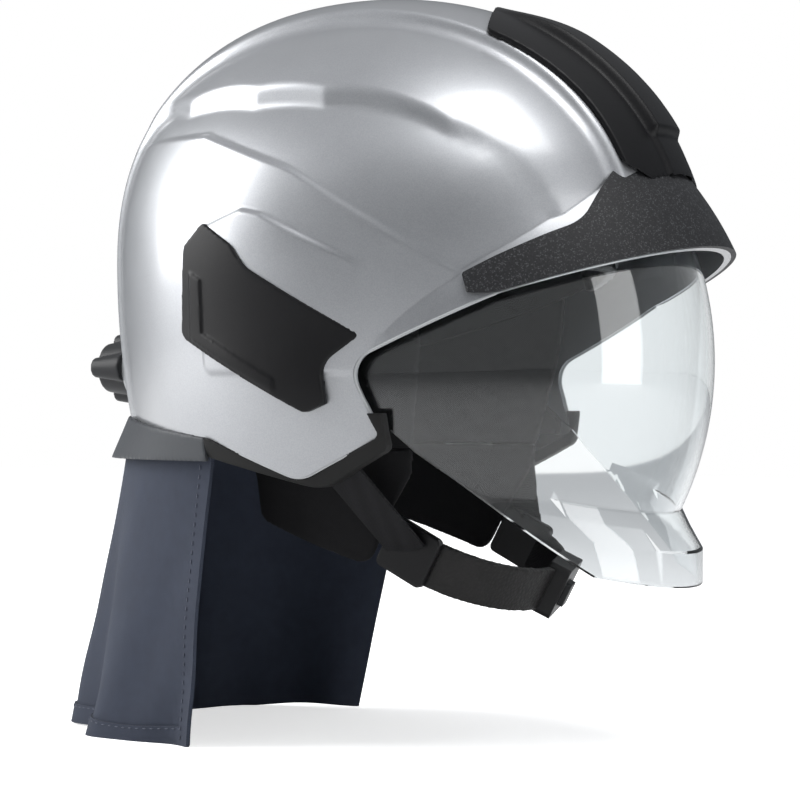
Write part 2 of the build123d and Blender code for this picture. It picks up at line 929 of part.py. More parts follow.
def strap_egg(inset):
    """Inside of the crown straps' arches, set in by the given depth."""
    return egg(
        side_span - inset,
        long_span - inset,
        long_span - inset,
        crown_strap_top_z - crown_strap_thickness - strap_shoulder_z - inset,
        cavity_low - inset,
        powers=round_powers,
        centre=(cavity_y, strap_shoulder_z),
    )


with BuildPart() as crown_pad:
    with BuildSketch(Plane.XY.offset(crown_strap_top_z)):
        with Locations((0, cavity_y)):
            Circle(crown_pad_radius)
    extrude(amount=-crown_pad_radius)
    add(strap_egg(fit_gap), mode=Mode.INTERSECT)
    add(strap_egg(fit_gap + crown_pad_thickness), mode=Mode.SUBTRACT)
write(crown_pad, "crown_pad")

# Hangers: blocks on the liner that carry the crown straps
for name, x, y in (
    ("hanger_right", -1, 0),
    ("hanger_left", 1, 0),
    ("hanger_front", 0, -1),
    ("hanger_rear", 0, 1),
):
    with BuildPart() as hanger:
        with BuildSketch(Plane.XY.offset(hanger_low_z)):
            with Locations((x * cavity_half_width, cavity_y + y * cavity_rear)):
                Rectangle(
                    2 * hanger_reach if x else hanger_width,
                    2 * hanger_reach if y else hanger_width,
                )
        extrude(amount=hanger_high_z - hanger_low_z)
        add(cavity.part, mode=Mode.INTERSECT)
        add(strap_egg(-crown_strap_thickness - hanger_gap), mode=Mode.SUBTRACT)
        add(crown_strap_across.part, mode=Mode.SUBTRACT)
        add(crown_strap_along.part, mode=Mode.SUBTRACT)
    write(hanger, name)

# Size adjustment: cradle with two channels, racks that face each other across the pinion
with BuildPart() as nape_cradle:
    with BuildSketch(rear_plane(cover_y)):
        with Locations((0, knob_z)):
            RectangleRounded(2 * cradle_half_length, 2 * cradle_half_height, cradle_wall)
    extrude(amount=cover_y - cradle_y)
    with BuildSketch(rear_plane(cover_y)):
        with Locations((0, knob_z)):
            Rectangle(2 * cradle_half_length, 2 * channel_half_height)
        guide_length = cradle_half_length - guide_start_x
        for side in (-1, 1):
            with Locations((side * (guide_start_x + guide_length / 2), knob_z)):
                Rectangle(guide_length, 2 * guide_half_height, mode=Mode.SUBTRACT)
    extrude(amount=cover_y - channel_y, mode=Mode.SUBTRACT)
write(nape_cradle, "nape_cradle")

with BuildPart() as rack_cover:
    with BuildSketch(rear_plane(cover_y + cover_thickness)):
        with Locations((0, knob_z)):
            RectangleRounded(2 * cradle_half_length, 2 * cradle_half_height, cradle_wall)
            Circle(shaft_radius + running_clearance, mode=Mode.SUBTRACT)
    extrude(amount=cover_thickness)
write(rack_cover, "rack_cover")

# Upper rack, which carries the left side; the lower rack is the same piece turned over
with BuildPart() as rack_left:
    with BuildSketch(rear_plane(cover_y - running_clearance)):
        root_z = pitch_radius + dedendum
        with Locations((-rack_inner_x, knob_z + root_z)):
            Rectangle(
                rack_inner_x + rack_outer_x, rack_back_z - root_z, align=(Align.MIN, Align.MIN)
            )
        with Locations((rack_inner_x + tooth_pitch / 2, knob_z + pitch_radius - addendum)):
            Rectangle(
                rack_outer_x - rack_inner_x - tooth_pitch / 2,
                rack_back_z - pitch_radius + addendum,
                align=(Align.MIN, Align.MIN),
            )
        half_tooth = tooth_pitch / 4 - gear_backlash
        half_root = half_tooth + dedendum * slope_share
        half_tip = half_tooth - addendum * slope_share
        tooth_count = int(2 * rack_inner_x / tooth_pitch)
        with Locations((0, knob_z + pitch_radius)):
            with GridLocations(tooth_pitch, 0, tooth_count + tooth_count % 2, 1):
                Polygon(
                    (-half_root, dedendum + running_clearance),
                    (-half_root, dedendum),
                    (-half_tip, -addendum),
                    (half_tip, -addendum),
                    (half_root, dedendum),
                    (half_root, dedendum + running_clearance),
                    align=None,
                )
    extrude(amount=rack_depth)
write(rack_left, "rack_left")
with BuildPart() as rack_right:
    add(Pos(0, 0, knob_z) * Rot(0, 180, 0) * Pos(0, 0, -knob_z) * rack_left.part)
write(rack_right, "rack_right")

# Pinion with its shaft: involute flanks as arcs through three points
def involute(angle):
    """Involute function of an angle in radians."""
    return tan(angle) - angle


def flank_point(radius, side):
    """Point of a tooth's flank at a radius, on the given side of the tooth's upright axis."""
    base_radius = pitch_radius * cos(radians(pressure_angle))
    roll = acos(min(1, base_radius / radius))
    thickness = pi / 2 / gear_teeth + involute(radians(pressure_angle)) - involute(roll)
    turn = side * (thickness - gear_backlash / pitch_radius)
    return (radius * sin(turn), radius * cos(turn))


root_radius = pitch_radius - dedendum
flank_radii = (pitch_radius * cos(radians(pressure_angle)), pitch_radius, pitch_radius + addendum)
with BuildSketch() as gear_tooth:
    with BuildLine():
        rising = ThreePointArc(*[flank_point(radius, -1) for radius in flank_radii])
        falling = ThreePointArc(*[flank_point(radius, 1) for radius in reversed(flank_radii)])
        Line(rising @ 1, falling @ 0)
        Polyline(falling @ 1, (root_radius * sin(pi / 2 / gear_teeth), 0), (0, 0))
        Polyline(rising @ 0, (-root_radius * sin(pi / 2 / gear_teeth), 0), (0, 0))
    make_face()
knob_y = bush_end_y + fit_gap
ring_y = knob_y + knob_base_depth
head_y = ring_y + knob_ring_depth
with BuildPart() as pinion_shaft:
    with BuildSketch(rear_plane(cover_y - running_clearance)):
        with Locations((0, knob_z)):
            Circle(root_radius)
            with PolarLocations(0, gear_teeth, start_angle=90):
                add(gear_tooth.sketch.rotate(Axis.Z, -90))
    extrude(amount=rack_depth)
    with BuildSketch(rear_plane(head_y)):
        with Locations((0, knob_z)):
            Circle(shaft_radius)
    extrude(amount=head_y - cover_y + running_clearance)
write(pinion_shaft, "pinion_shaft")

# Bush: passes the shaft through the shell, its flange on the shell's outer face
with BuildPart() as knob_bush:
    for radius, depth in (
        (bush_radius, bush_end_y - cover_y - cover_thickness),
        (bush_flange_radius, bush_flange_depth),
    ):
        with BuildSketch(rear_plane(bush_end_y)):
            with Locations((0, knob_z)):
                Circle(radius)
        extrude(amount=depth)
    with BuildSketch(rear_plane(bush_end_y)):
        with Locations((0, knob_z)):
            Circle(shaft_radius + running_clearance)
    extrude(amount=bush_end_y - cover_y - cover_thickness, mode=Mode.SUBTRACT)
    add(outer_shell.part, mode=Mode.SUBTRACT)
write(knob_bush, "knob_bush")

# Knob: dark foot, light ring, and a head with three lobes to turn it by
with BuildPart() as knob_foot:
    with BuildSketch(rear_plane(ring_y)):
        with Locations((0, knob_z)):
            Circle(knob_foot_radius)
            Circle(shaft_radius, mode=Mode.SUBTRACT)
    extrude(amount=knob_base_depth)
write(knob_foot, "knob_foot")
with BuildPart() as knob_ring:
    with BuildSketch(rear_plane(head_y)):
        with Locations((0, knob_z)):
            Circle(knob_ring_radius)
            Circle(shaft_radius, mode=Mode.SUBTRACT)
    extrude(amount=knob_ring_depth)
write(knob_ring, "knob_ring")
with BuildPart() as size_knob:
    with BuildSketch(Plane(origin=(0, head_y, knob_z), x_dir=(-1, 0, 0), z_dir=(0, 1, 0))):
        Circle(knob_core_radius)
        with PolarLocations(knob_lobe_place, knob_lobes):
            Circle(knob_lobe_radius)
    extrude(amount=knob_head_depth, taper=knob_taper)
write(size_knob, "size_knob")

# Strap anchors on the shell's inner face beside the ears
with BuildPart() as strap_anchor_right:
    with BuildSketch(side_plane(dome_half_width)):
        with Locations((anchor_y, anchor_z)):
            Rectangle(anchor_length, anchor_height)
    extrude(amount=dome_half_width)
    add(scooped(shell_wall), mode=Mode.INTERSECT)
    add(dome(shell_wall + anchor_thickness), mode=Mode.SUBTRACT)
write(strap_anchor_right, "strap_anchor_right")
with BuildPart() as strap_anchor_left:
    mirror(strap_anchor_right.part, about=Plane.YZ)
write(strap_anchor_left, "strap_anchor_left")

# Chin strap: sliders at the junctions, side straps, pad and strap on an ellipse round the chin
chin_angle = radians(chin_slope)
chin_plane = Plane(
    origin=(0, junction_y, junction_z),
    x_dir=(1, 0, 0),
    z_dir=(0, sin(chin_angle), -cos(chin_angle)),
)
slider_plane = Plane(
    origin=(-junction_x - slider_depth / 2, junction_y, junction_z),
    x_dir=(0, -cos(chin_angle), -sin(chin_angle)),
    z_dir=(1, 0, 0),
)
with BuildPart() as strap_slider_right:
    with BuildSketch(slider_plane):
        RectangleRounded(slider_length, slider_width, slider_corner)
    extrude(amount=slider_depth)
write(strap_slider_right, "strap_slider_right")
with BuildPart() as strap_slider_left:
    mirror(strap_slider_right.part, about=Plane.YZ)
write(strap_slider_left, "strap_slider_left")

strap_start = Vector(-strap_start_x, anchor_y, anchor_z)
strap_end = Vector(-junction_x - 0.45 * slider_depth, junction_y, junction_z)
strap_run = strap_end - strap_start
with BuildPart() as side_strap_right:
    with BuildSketch(
        Plane(origin=strap_start, x_dir=strap_run, z_dir=strap_run.cross(Vector(0, 1, 0)))
    ):
        Rectangle(strap_run.length, strap_width, align=(Align.MIN, Align.CENTER))
    extrude(amount=strap_thickness)
    add(strap_slider_right.part, mode=Mode.SUBTRACT)
    add(strap_anchor_right.part, mode=Mode.SUBTRACT)
write(side_strap_right, "side_strap_right")
with BuildPart() as side_strap_left:
    mirror(side_strap_right.part, about=Plane.YZ)
write(side_strap_left, "side_strap_left")

# Buckle: housing with a socket for the tongue and a pocket for the release button
buckle_turn = acos(buckle_centre_x / junction_x)
buckle_tangent = Vector(junction_x * sin(buckle_turn), -chin_reach * cos(buckle_turn))
buckle_frame = Plane(
    origin=chin_plane.from_local_coords((buckle_centre_x, chin_reach * sin(buckle_turn), 0)),
    x_dir=chin_plane.x_dir * buckle_tangent.X + chin_plane.y_dir * buckle_tangent.Y,
    z_dir=chin_plane.y_dir * buckle_tangent.X - chin_plane.x_dir * buckle_tangent.Y,
)
button_fit = button_width + 2 * button_clearance
with BuildPart() as buckle_housing:
    with BuildSketch(buckle_frame.offset(-buckle_back)):
        RectangleRounded(buckle_length, buckle_width, buckle_corner)
    extrude(amount=buckle_depth)
    with BuildSketch(buckle_frame.offset(buckle_depth - buckle_back)):
        with Locations((-button_offset, 0)):
            RectangleRounded(button_fit, button_fit, button_corner)
    extrude(amount=-button_pocket, mode=Mode.SUBTRACT)
    with BuildSketch(buckle_frame.offset(-tongue_thickness / 2)):
        with Locations((buckle_length / 2, 0)):
            Rectangle(2 * tongue_length, tongue_width)
    extrude(amount=tongue_thickness, mode=Mode.SUBTRACT)
write(buckle_housing, "buckle_housing")
with BuildPart() as buckle_tongue:
    with BuildSketch(buckle_frame.offset(-tongue_thickness / 2)):
        with Locations((buckle_length / 2 - tongue_length, 0)):
            Rectangle(
                tongue_length + tongue_reach, tongue_width, align=(Align.MIN, Align.CENTER)
            )
    extrude(amount=tongue_thickness)
write(buckle_tongue, "buckle_tongue")
with BuildPart() as release_button:
    with BuildSketch(buckle_frame.offset(buckle_depth - buckle_back + button_proud)):
        with Locations((-button_offset, 0)):
            RectangleRounded(button_width, button_width, button_corner)
    extrude(amount=-button_depth)
write(release_button, "release_button")

for name, x_start, x_end, thickness, width, neighbours in (
    (
        "chin_pad",
        -junction_x - slider_depth,
        buckle_centre_x,
        chin_pad_thickness,
        chin_pad_width,
        (strap_slider_right, buckle_housing),
    ),
    (
        "chin_strap",
        buckle_centre_x,
        junction_x + slider_depth,
        chin_strap_thickness,
        strap_width,
        (strap_slider_left, buckle_housing, buckle_tongue),
    ),
):
    with BuildPart() as chin_piece:
        with BuildSketch(chin_plane.offset(-width / 2)):
            Ellipse(junction_x + thickness / 2, chin_reach + thickness / 2)
            Ellipse(
                junction_x - thickness / 2, chin_reach - thickness / 2, mode=Mode.SUBTRACT
            )
            with Locations((x_start, 0)):
                Rectangle(
                    x_end - x_start,
                    2 * chin_reach,
                    align=(Align.MIN, Align.MIN),
                    mode=Mode.INTERSECT,
                )
        extrude(amount=width)
        for neighbour in neighbours:
            add(neighbour.part, mode=Mode.SUBTRACT)
    write(chin_piece, name)


# Neck curtain: hangs from a rail inside the nape guard, in folds that grow towards its hem
def guard_inside(z):
    """Half width and rear length of the nape guard's inner face at a height."""
    fall_share = (guard_top_z - z) / (guard_top_z - guard_low_z)
    half_width = guard_top_half_width + fall_share * (guard_low_half_width - guard_top_half_width)
    rear = guard_top_rear + fall_share * (guard_low_rear - guard_top_rear)
    return half_width - guard_wall, rear - guard_wall


with BuildPart() as curtain_rail:
    for inset, mode in ((0, Mode.ADD), (rail_thickness, Mode.SUBTRACT)):
        for z in (curtain_top_z, curtain_top_z - rail_height):
            half_width, rear = guard_inside(z)
            with BuildSketch(Plane.XY.offset(z)):
                with Locations((0, dome_y)):
                    Ellipse(half_width - inset, rear - inset)
        loft(mode=mode)
    with BuildSketch(Plane.XY.offset(curtain_top_z)):
        with Locations((0, curtain_front_y)):
            Rectangle(4 * dome_half_width, 4 * dome_rear, align=(Align.CENTER, Align.MIN))
    extrude(amount=-rail_height, mode=Mode.INTERSECT)
write(curtain_rail, "curtain_rail")


def curtain_section(z, half_width, length, centre_y, front_y, fold):
    """Closed U outline of the curtain at a height, each face a chain of arcs that swing in and out."""
    start = asin((front_y - centre_y) / length)
    step = (pi - 2 * start) / curtain_arcs
    with BuildSketch(Plane.XY.offset(z)) as section:
        with BuildLine():
            ends = []
            for inset in (0, curtain_thickness):

                def place(angle, swing):
                    reach = swing - inset
                    return (
                        (half_width + reach) * cos(angle),
                        centre_y + (length + reach) * sin(angle),
                    )

                for arc in range(curtain_arcs):
                    angle = start + arc * step
                    swing = fold if arc % 2 else -fold
                    ThreePointArc(
                        place(angle, 0), place(angle + step / 2, swing), place(angle + step, 0)
                    )
                ends.append((place(start, 0), place(pi - start, 0)))
            Line(ends[0][0], ends[1][0])
            Line(ends[0][1], ends[1][1])
        make_face()
    return section.sketch


rail_half_width, rail_rear = (
    size - rail_thickness - fit_gap for size in guard_inside(curtain_top_z)
)
hang_half_width, hang_rear = (size - rail_thickness - fit_gap for size in guard_inside(guard_low_z))
curtain_sections = [
    curtain_section(curtain_top_z, rail_half_width, rail_rear, dome_y, curtain_front_y, 0)
]
for share in curtain_shares:
    curtain_sections.append(
        curtain_section(
            guard_low_z + share * (curtain_low_z - guard_low_z),
            hang_half_width + share * (curtain_low_half_width - hang_half_width),
            hang_rear + share * (curtain_low_length - hang_rear),
            dome_y + share * (curtain_low_y - dome_y),
            curtain_front_y + share * (curtain_low_front_y - curtain_front_y),
            share * curtain_fold,
        )
    )
with BuildPart() as neck_curtain:
    loft(curtain_sections)
write(neck_curtain, "neck_curtain")
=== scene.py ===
from math import acos, asin, cos, pi, radians, sin, sqrt, tan

import bmesh
import bpy
import numpy as np
from mathutils import Matrix, Vector


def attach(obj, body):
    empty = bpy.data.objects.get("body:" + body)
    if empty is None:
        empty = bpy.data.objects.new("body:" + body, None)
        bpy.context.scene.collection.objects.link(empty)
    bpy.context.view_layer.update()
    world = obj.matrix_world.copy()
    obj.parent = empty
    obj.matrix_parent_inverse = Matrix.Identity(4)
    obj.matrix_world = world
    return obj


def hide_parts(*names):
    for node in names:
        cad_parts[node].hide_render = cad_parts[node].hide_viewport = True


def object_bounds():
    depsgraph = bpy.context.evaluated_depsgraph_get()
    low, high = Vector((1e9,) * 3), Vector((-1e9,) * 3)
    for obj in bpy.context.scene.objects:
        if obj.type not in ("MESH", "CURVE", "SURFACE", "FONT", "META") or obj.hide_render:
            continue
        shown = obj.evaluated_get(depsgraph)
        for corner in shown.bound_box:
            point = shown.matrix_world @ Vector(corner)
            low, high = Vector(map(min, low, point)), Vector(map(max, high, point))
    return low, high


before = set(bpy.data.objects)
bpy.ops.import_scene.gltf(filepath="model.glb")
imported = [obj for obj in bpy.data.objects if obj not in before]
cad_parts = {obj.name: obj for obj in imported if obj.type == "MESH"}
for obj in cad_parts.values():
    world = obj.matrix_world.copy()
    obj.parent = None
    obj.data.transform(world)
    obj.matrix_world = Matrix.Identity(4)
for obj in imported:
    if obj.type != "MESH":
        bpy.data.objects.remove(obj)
cad_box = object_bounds()

# Camera, floor and light
# The helmet is seen from its right side and a little from the front, level with the cheek,
# through a long lens, on a pale floor under large soft lamps.
mm = 0.001
camera_place = Vector((-1114.6, -554.9, -15.9)) * mm
camera_aim = Vector((0.891, 0.454, 0))
camera = bpy.data.objects.new("camera", bpy.data.cameras.new("camera"))
camera.data.lens = 115.97
camera.data.sensor_width = 36
camera.location = camera_place
camera.rotation_euler = camera_aim.to_track_quat("-Z", "Y").to_euler()
bpy.context.scene.collection.objects.link(camera)
bpy.context.scene.camera = camera
bpy.context.scene.view_settings.view_transform = "Standard"

floor_z = cad_box[0].z - 0.5 * mm
floor_size = 4000 * mm
paper_white = (0.9, 0.9, 0.9, 1)
paper_glow = 0.62


def built(name, body):
    """New object from a bmesh, which is freed."""
    mesh = bpy.data.meshes.new(name)
    body.to_mesh(mesh)
    body.free()
    piece = bpy.data.objects.new(name, mesh)
    bpy.context.scene.collection.objects.link(piece)
    return piece


floor_body = bmesh.new()
bmesh.ops.create_grid(floor_body, x_segments=1, y_segments=1, size=floor_size)
bmesh.ops.translate(floor_body, verts=floor_body.verts, vec=(0, 0, floor_z))
floor = built("floor", floor_body)
paper = bpy.data.materials.new("paper")
paper.use_nodes = True
paper_nodes = paper.node_tree.nodes
paper_nodes.clear()
paper_rays = paper_nodes.new("ShaderNodeLightPath")
paper_matt = paper_nodes.new("ShaderNodeBsdfDiffuse")
paper_matt.inputs["Color"].default_value = paper_white
paper_light = paper_nodes.new("ShaderNodeEmission")
paper_light.inputs["Strength"].default_value = paper_glow
paper_dark = paper_nodes.new("ShaderNodeEmission")
paper_dark.inputs["Strength"].default_value = 0
paper_choice = paper_nodes.new("ShaderNodeMixShader")
paper_sum = paper_nodes.new("ShaderNodeAddShader")
paper_end = paper_nodes.new("ShaderNodeOutputMaterial")
paper_links = paper.node_tree.links
paper_links.new(paper_rays.outputs["Is Camera Ray"], paper_choice.inputs[0])
paper_links.new(paper_dark.outputs[0], paper_choice.inputs[1])
paper_links.new(paper_light.outputs[0], paper_choice.inputs[2])
paper_links.new(paper_matt.outputs[0], paper_sum.inputs[0])
paper_links.new(paper_choice.outputs[0], paper_sum.inputs[1])
paper_links.new(paper_sum.outputs[0], paper_end.inputs["Surface"])
floor.data.materials.append(paper)

# The lamps: name, place, width, height and power; each looks at the helmet's middle
lamps = (
    ("lamp_rear", (-700, 1500, 700), 1300, 1300, 42),
    ("lamp_top", (-300, -700, 1500), 900, 900, 17),
    ("lamp_front", (-250, -1700, 300), 700, 1200, 9),
)
for lamp_name, lamp_place, lamp_width, lamp_height, lamp_power in lamps:
    lamp = bpy.data.objects.new(lamp_name, bpy.data.lights.new(lamp_name, "AREA"))
    lamp.data.shape = "RECTANGLE"
    lamp.data.size = lamp_width * mm
    lamp.data.size_y = lamp_height * mm
    lamp.data.energy = lamp_power
    lamp.location = Vector(lamp_place) * mm
    lamp.rotation_euler = (-lamp.location).to_track_quat("-Z", "Y").to_euler()
    bpy.context.scene.collection.objects.link(lamp)

world = bpy.data.worlds.new("studio")
world.use_nodes = True
bpy.context.scene.world = world
world_nodes = world.node_tree.nodes
world_links = world.node_tree.links
world_nodes.clear()
world_rays = world_nodes.new("ShaderNodeLightPath")
world_seen = world_nodes.new("ShaderNodeMath")
world_seen.operation = "MAXIMUM"
world_links.new(world_rays.outputs["Is Camera Ray"], world_seen.inputs[0])
world_links.new(world_rays.outputs["Is Transmission Ray"], world_seen.inputs[1])
world_direction = world_nodes.new("ShaderNodeTexCoord")
world_height = world_nodes.new("ShaderNodeSeparateXYZ")
world_links.new(world_direction.outputs["Generated"], world_height.inputs[0])
world_ramp = world_nodes.new("ShaderNodeValToRGB")
world_ramp.color_ramp.elements[0].position = 0.30
world_ramp.color_ramp.elements[0].color = (0.16, 0.17, 0.18, 1)
world_ramp.color_ramp.elements[1].position = 0.95
world_ramp.color_ramp.elements[1].color = (0.62, 0.63, 0.65, 1)
world_links.new(world_height.outputs["Z"], world_ramp.inputs[0])
world_soft = world_nodes.new("ShaderNodeBackground")
world_links.new(world_ramp.outputs[0], world_soft.inputs["Color"])
world_white = world_nodes.new("ShaderNodeBackground")
world_white.inputs["Color"].default_value = (1, 1, 1, 1)
world_choice = world_nodes.new("ShaderNodeMixShader")
world_end = world_nodes.new("ShaderNodeOutputWorld")
world_links.new(world_seen.outputs[0], world_choice.inputs[0])
world_links.new(world_soft.outputs[0], world_choice.inputs[1])
world_links.new(world_white.outputs[0], world_choice.inputs[2])
world_links.new(world_choice.outputs[0], world_end.inputs["Surface"])

# Outer shell
# Fibre composite shell moulded in one piece: a raised crest, an upper layer that overhangs two
# air scoops, and a hood round the side plate, sprayed with silver pearl lacquer and clear coat.
dome_middle = np.array((0.0, 16.0, 50.0))
dome_half_width = 123.0
dome_front, dome_rear, layer_rear = 148.0, 134.5, 137.5
dome_top, dome_low = 119.5, 235.0
shell_wall = 3.5

# Each egg has a half width, and its reach to the front, to the rear, upwards and downwards
dome_egg = (dome_half_width, dome_front, dome_rear, dome_top, dome_low)
flatter_egg = (dome_half_width + 0.4, 158.0, 147.0, 104.7, dome_low)
layer_egg = (dome_half_width + 1.0, dome_front, layer_rear, dome_top, dome_low)
crest_egg = (dome_half_width, dome_front + 4.0, layer_rear, dome_top + 7.5, dome_low)
hood_egg = (dome_half_width + 2.5, 120.0, dome_rear, dome_top, dome_low)
upper_side_power, upper_rear_power = 2.1, 2.3
egg_near, egg_far = 40.0, 300.0
shell_near, shell_far = 80.0, 200.0
search_steps = 18
table_start, table_end, table_step = -215, 235, 1.0
edge_round, foot_round = 2.2, 6.0
fine_low_z, fine_edge_gap = -60.0, 4.0
brow_middle = np.array((0.0, 0.0, -20.0))
brow_half_width, brow_radius, brow_cover = 123.0, 170.0, 2.5
flare_sink, flare_fade_z, flare_fade = 7.0, 38.0, 56.0

# Outlines as shares of the dome's reach from its middle: X and Y in the plan view, Y and Z in the
# side view
crest_plan_shares = ((0.33, -1.2), (0.39, -0.45), (0.43, -0.1), (0.50, 0.4), (0.48, 1.2))
layer_plan_shares = (
    (0.20, -1.2),
    (0.57, -0.85),
    (0.745, -0.50),
    (0.80, -0.10),
    (0.78, 0.15),
    (0.67, 0.44),
    (0.45, 0.67),
    (0.20, 0.90),
)
crease_shares = (
    (0.30, 0.465),
    (-0.05, 0.31),
    (-0.58, -0.095),
    (-0.58, -1.9),
    (1.4, -1.9),
    (1.4, 0.465),
)
crease_radius_shares = (0.03, 0.4, 0.03, 0, 0, 0)
hood_shares = (
    (0.25, 0.095),
    (0.10, 0.16),
    (0.03, 0.142),
    (-0.30, -0.06),
    (-0.30, -0.45),
    (0.25, -0.45),
)
hood_radius_shares = (0.02, 0.03, 0.05, 0.05, 0.03, 0.03)
opening_shares = (
    (-1.29, 0.095),
    (-0.669, -0.163),
    (-0.24, -0.415),
    (-0.328, -0.686),
    (-0.06, -0.853),
    (0.262, -0.696),
    (1.284, -0.538),
    (1.284, 1.6),
    (-1.29, 1.6),
)
opening_radius_shares = (0, 0.3, 0.08, 0.02, 0.1, 0.15, 0, 0, 0)


def rounded(corners, radii, steps=8):
    """Closed outline whose corners are replaced by arcs."""
    corners = [np.array(corner, float) for corner in corners]
    line = []
    for place, (corner, radius) in enumerate(zip(corners, radii)):
        if radius == 0:
            line.append(corner)
            continue
        back = corners[place - 1] - corner
        ahead = corners[(place + 1) % len(corners)] - corner
        back /= np.linalg.norm(back)
        ahead /= np.linalg.norm(ahead)
        half = acos(max(-1, min(1, back @ ahead))) / 2
        between = (back + ahead) / np.linalg.norm(back + ahead)
        centre = corner + between * radius / sin(half)
        reach = radius / tan(half)
        start, end = corner + back * reach - centre, corner + ahead * reach - centre
        turn = pi - 2 * half
        for share in np.linspace(0, 1, steps):
            line.append(
                centre + (start * sin((1 - share) * turn) + end * sin(share * turn)) / sin(turn)
            )
    return np.array(line)


def side_line(shares, radius_shares):
    """Outline in the side view, as Y and Z in millimetres."""
    _, middle_y, middle_z = dome_middle
    corners = [(middle_y + y * dome_front, middle_z + z * dome_top) for y, z in shares]
    return rounded(corners, [share * dome_front for share in radius_shares])


def plan_line(shares, radius_share):
    """Outline in the plan view, as X and Y in millimetres, mirrored about the mid plane."""
    right = [(x * dome_half_width, dome_middle[1] + y * dome_front) for x, y in shares]
    corners = right + [(-x, y) for x, y in reversed(right)]
    return rounded(corners, [radius_share * dome_half_width] * len(corners))


def distance_table(line):
    """Function that reads a closed outline's signed distance, negative inside, from a table."""
    ticks = np.arange(table_start, table_end, table_step)
    u, v = np.meshgrid(ticks, ticks, indexing="ij")
    nearest = np.full(u.shape, 1e9)
    inside = np.zeros(u.shape, bool)
    for first, second in zip(line, np.roll(line, -1, axis=0)):
        run = second - first
        length = run @ run
        if length == 0:
            continue
        share = np.clip(((u - first[0]) * run[0] + (v - first[1]) * run[1]) / length, 0, 1)
        gap = np.hypot(u - first[0] - share * run[0], v - first[1] - share * run[1])
        nearest = np.minimum(nearest, gap)
        if run[1]:
            crosses = (first[1] > v) != (second[1] > v)
            inside ^= crosses & (u < first[0] + (v - first[1]) * run[0] / run[1])
    table = np.where(inside, -nearest, nearest)

    def read(a, b):
        a = np.clip((a - table_start) / table_step, 0, len(ticks) - 1.001)
        b = np.clip((b - table_start) / table_step, 0, len(ticks) - 1.001)
        i, j = a.astype(int), b.astype(int)
        a, b = a - i, b - j
        near_side = table[i, j] * (1 - b) + table[i, j + 1] * b
        far_side = table[i + 1, j] * (1 - b) + table[i + 1, j + 1] * b
        return near_side * (1 - a) + far_side * a

    return read


def egg_reach(ways, half_width, front, rear, top, low):
    """Distance from the dome's middle to an egg's surface along each direction."""
    near, far = np.full(len(ways), egg_near), np.full(len(ways), egg_far)
    upwards = ways[:, 2] > 0
    limit = np.where(upwards, top, low)
    side_power = np.where(upwards, upper_side_power, 2.0)
    rear_power = np.where(upwards, upper_rear_power, 2.0)
    for _ in range(search_steps):
        middle = (near + far) / 2
        height = np.abs(ways[:, 2]) * middle / limit
        held = np.clip(height, 0, 0.999999)
        side = half_width * (1 - held**side_power) ** (1 / side_power)
        back = rear * (1 - held**rear_power) ** (1 / rear_power)
        nose = front * np.sqrt(1 - held**2)
        length = np.where(ways[:, 1] > 0, back, nose)
        inside = (ways[:, 0] / side) ** 2 + (ways[:, 1] / length) ** 2 < 1 / middle**2
        inside &= height < 1
        near, far = np.where(inside, middle, near), np.where(inside, far, middle)
    return (near + far) / 2


def spheroid_reach(ways, half_width, radius):
    """Distance from the dome's middle to the brow's ellipsoid in its front upper part, else 0."""
    scale = np.array((half_width, radius, radius))
    start = (dome_middle - brow_middle) / scale
    run = ways / scale
    a, b, c = (run**2).sum(1), run @ start, start @ start - 1
    reach = (-b + np.sqrt(np.maximum(b * b - a * c, 0))) / a
    place = dome_middle + ways * reach[:, None]
    sunk = flare_sink * np.clip((flare_fade_z - place[:, 2]) / flare_fade, 0, 1) ** 2
    return np.where((place[:, 1] < 0) & (place[:, 2] > brow_middle[2]), reach - sunk, 0)


def joined(first, second, radius):
    """Signed distance to the union of two forms, with a fillet of about the given radius."""
    share = np.clip(0.5 + 0.5 * (second - first) / radius, 0, 1)
    return second + (first - second) * share - radius * share * (1 - share)


def common(first, second, radius):
    """Signed distance to what two forms have in common, its edge rounded."""
    return -joined(-first, -second, radius)


crest_table = distance_table(plan_line(crest_plan_shares, 0.2))
layer_table = distance_table(plan_line(layer_plan_shares, 0.12))
crease_table = distance_table(side_line(crease_shares, crease_radius_shares))
hood_table = distance_table(side_line(hood_shares, hood_radius_shares))
opening_line = side_line(opening_shares, opening_radius_shares)
opening_table = distance_table(opening_line)


def shell_reach(ways, inset=0.0):
    """Distance from the dome's middle to the shell's surface, or to one set in by its wall."""
    sizes = (dome_egg, flatter_egg, layer_egg, crest_egg, hood_egg)
    reaches = [egg_reach(ways, *(size - inset for size in egg)) for egg in sizes]
    dome, flatter, layer, crest, hood = reaches
    grown = brow_cover + inset
    flare = spheroid_reach(ways, brow_half_width - grown, brow_radius - grown)
    near, far = np.full(len(ways), shell_near), np.full(len(ways), shell_far)
    for _ in range(search_steps):
        middle = (near + far) / 2
        x, y, z = (ways * middle[:, None] + dome_middle).T
        gap = common(middle - dome, middle - flatter, edge_round)
        if inset == 0:
            side = common(middle - dome, crease_table(y, z), edge_round)
            gap = joined(gap, side, edge_round)
            bulge = common(middle - hood, hood_table(y, z), edge_round)
            gap = joined(gap, bulge, edge_round)
        upper = common(middle - layer, layer_table(x, y) + inset, edge_round)
        gap = joined(gap, upper, edge_round)
        ridge = common(middle - crest, crest_table(x, y) + inset, edge_round)
        gap = joined(gap, ridge, foot_round)
        gap = np.minimum(gap, middle - flare)
        near, far = np.where(gap < 0, middle, near), np.where(gap < 0, far, middle)
    return (near + far) / 2


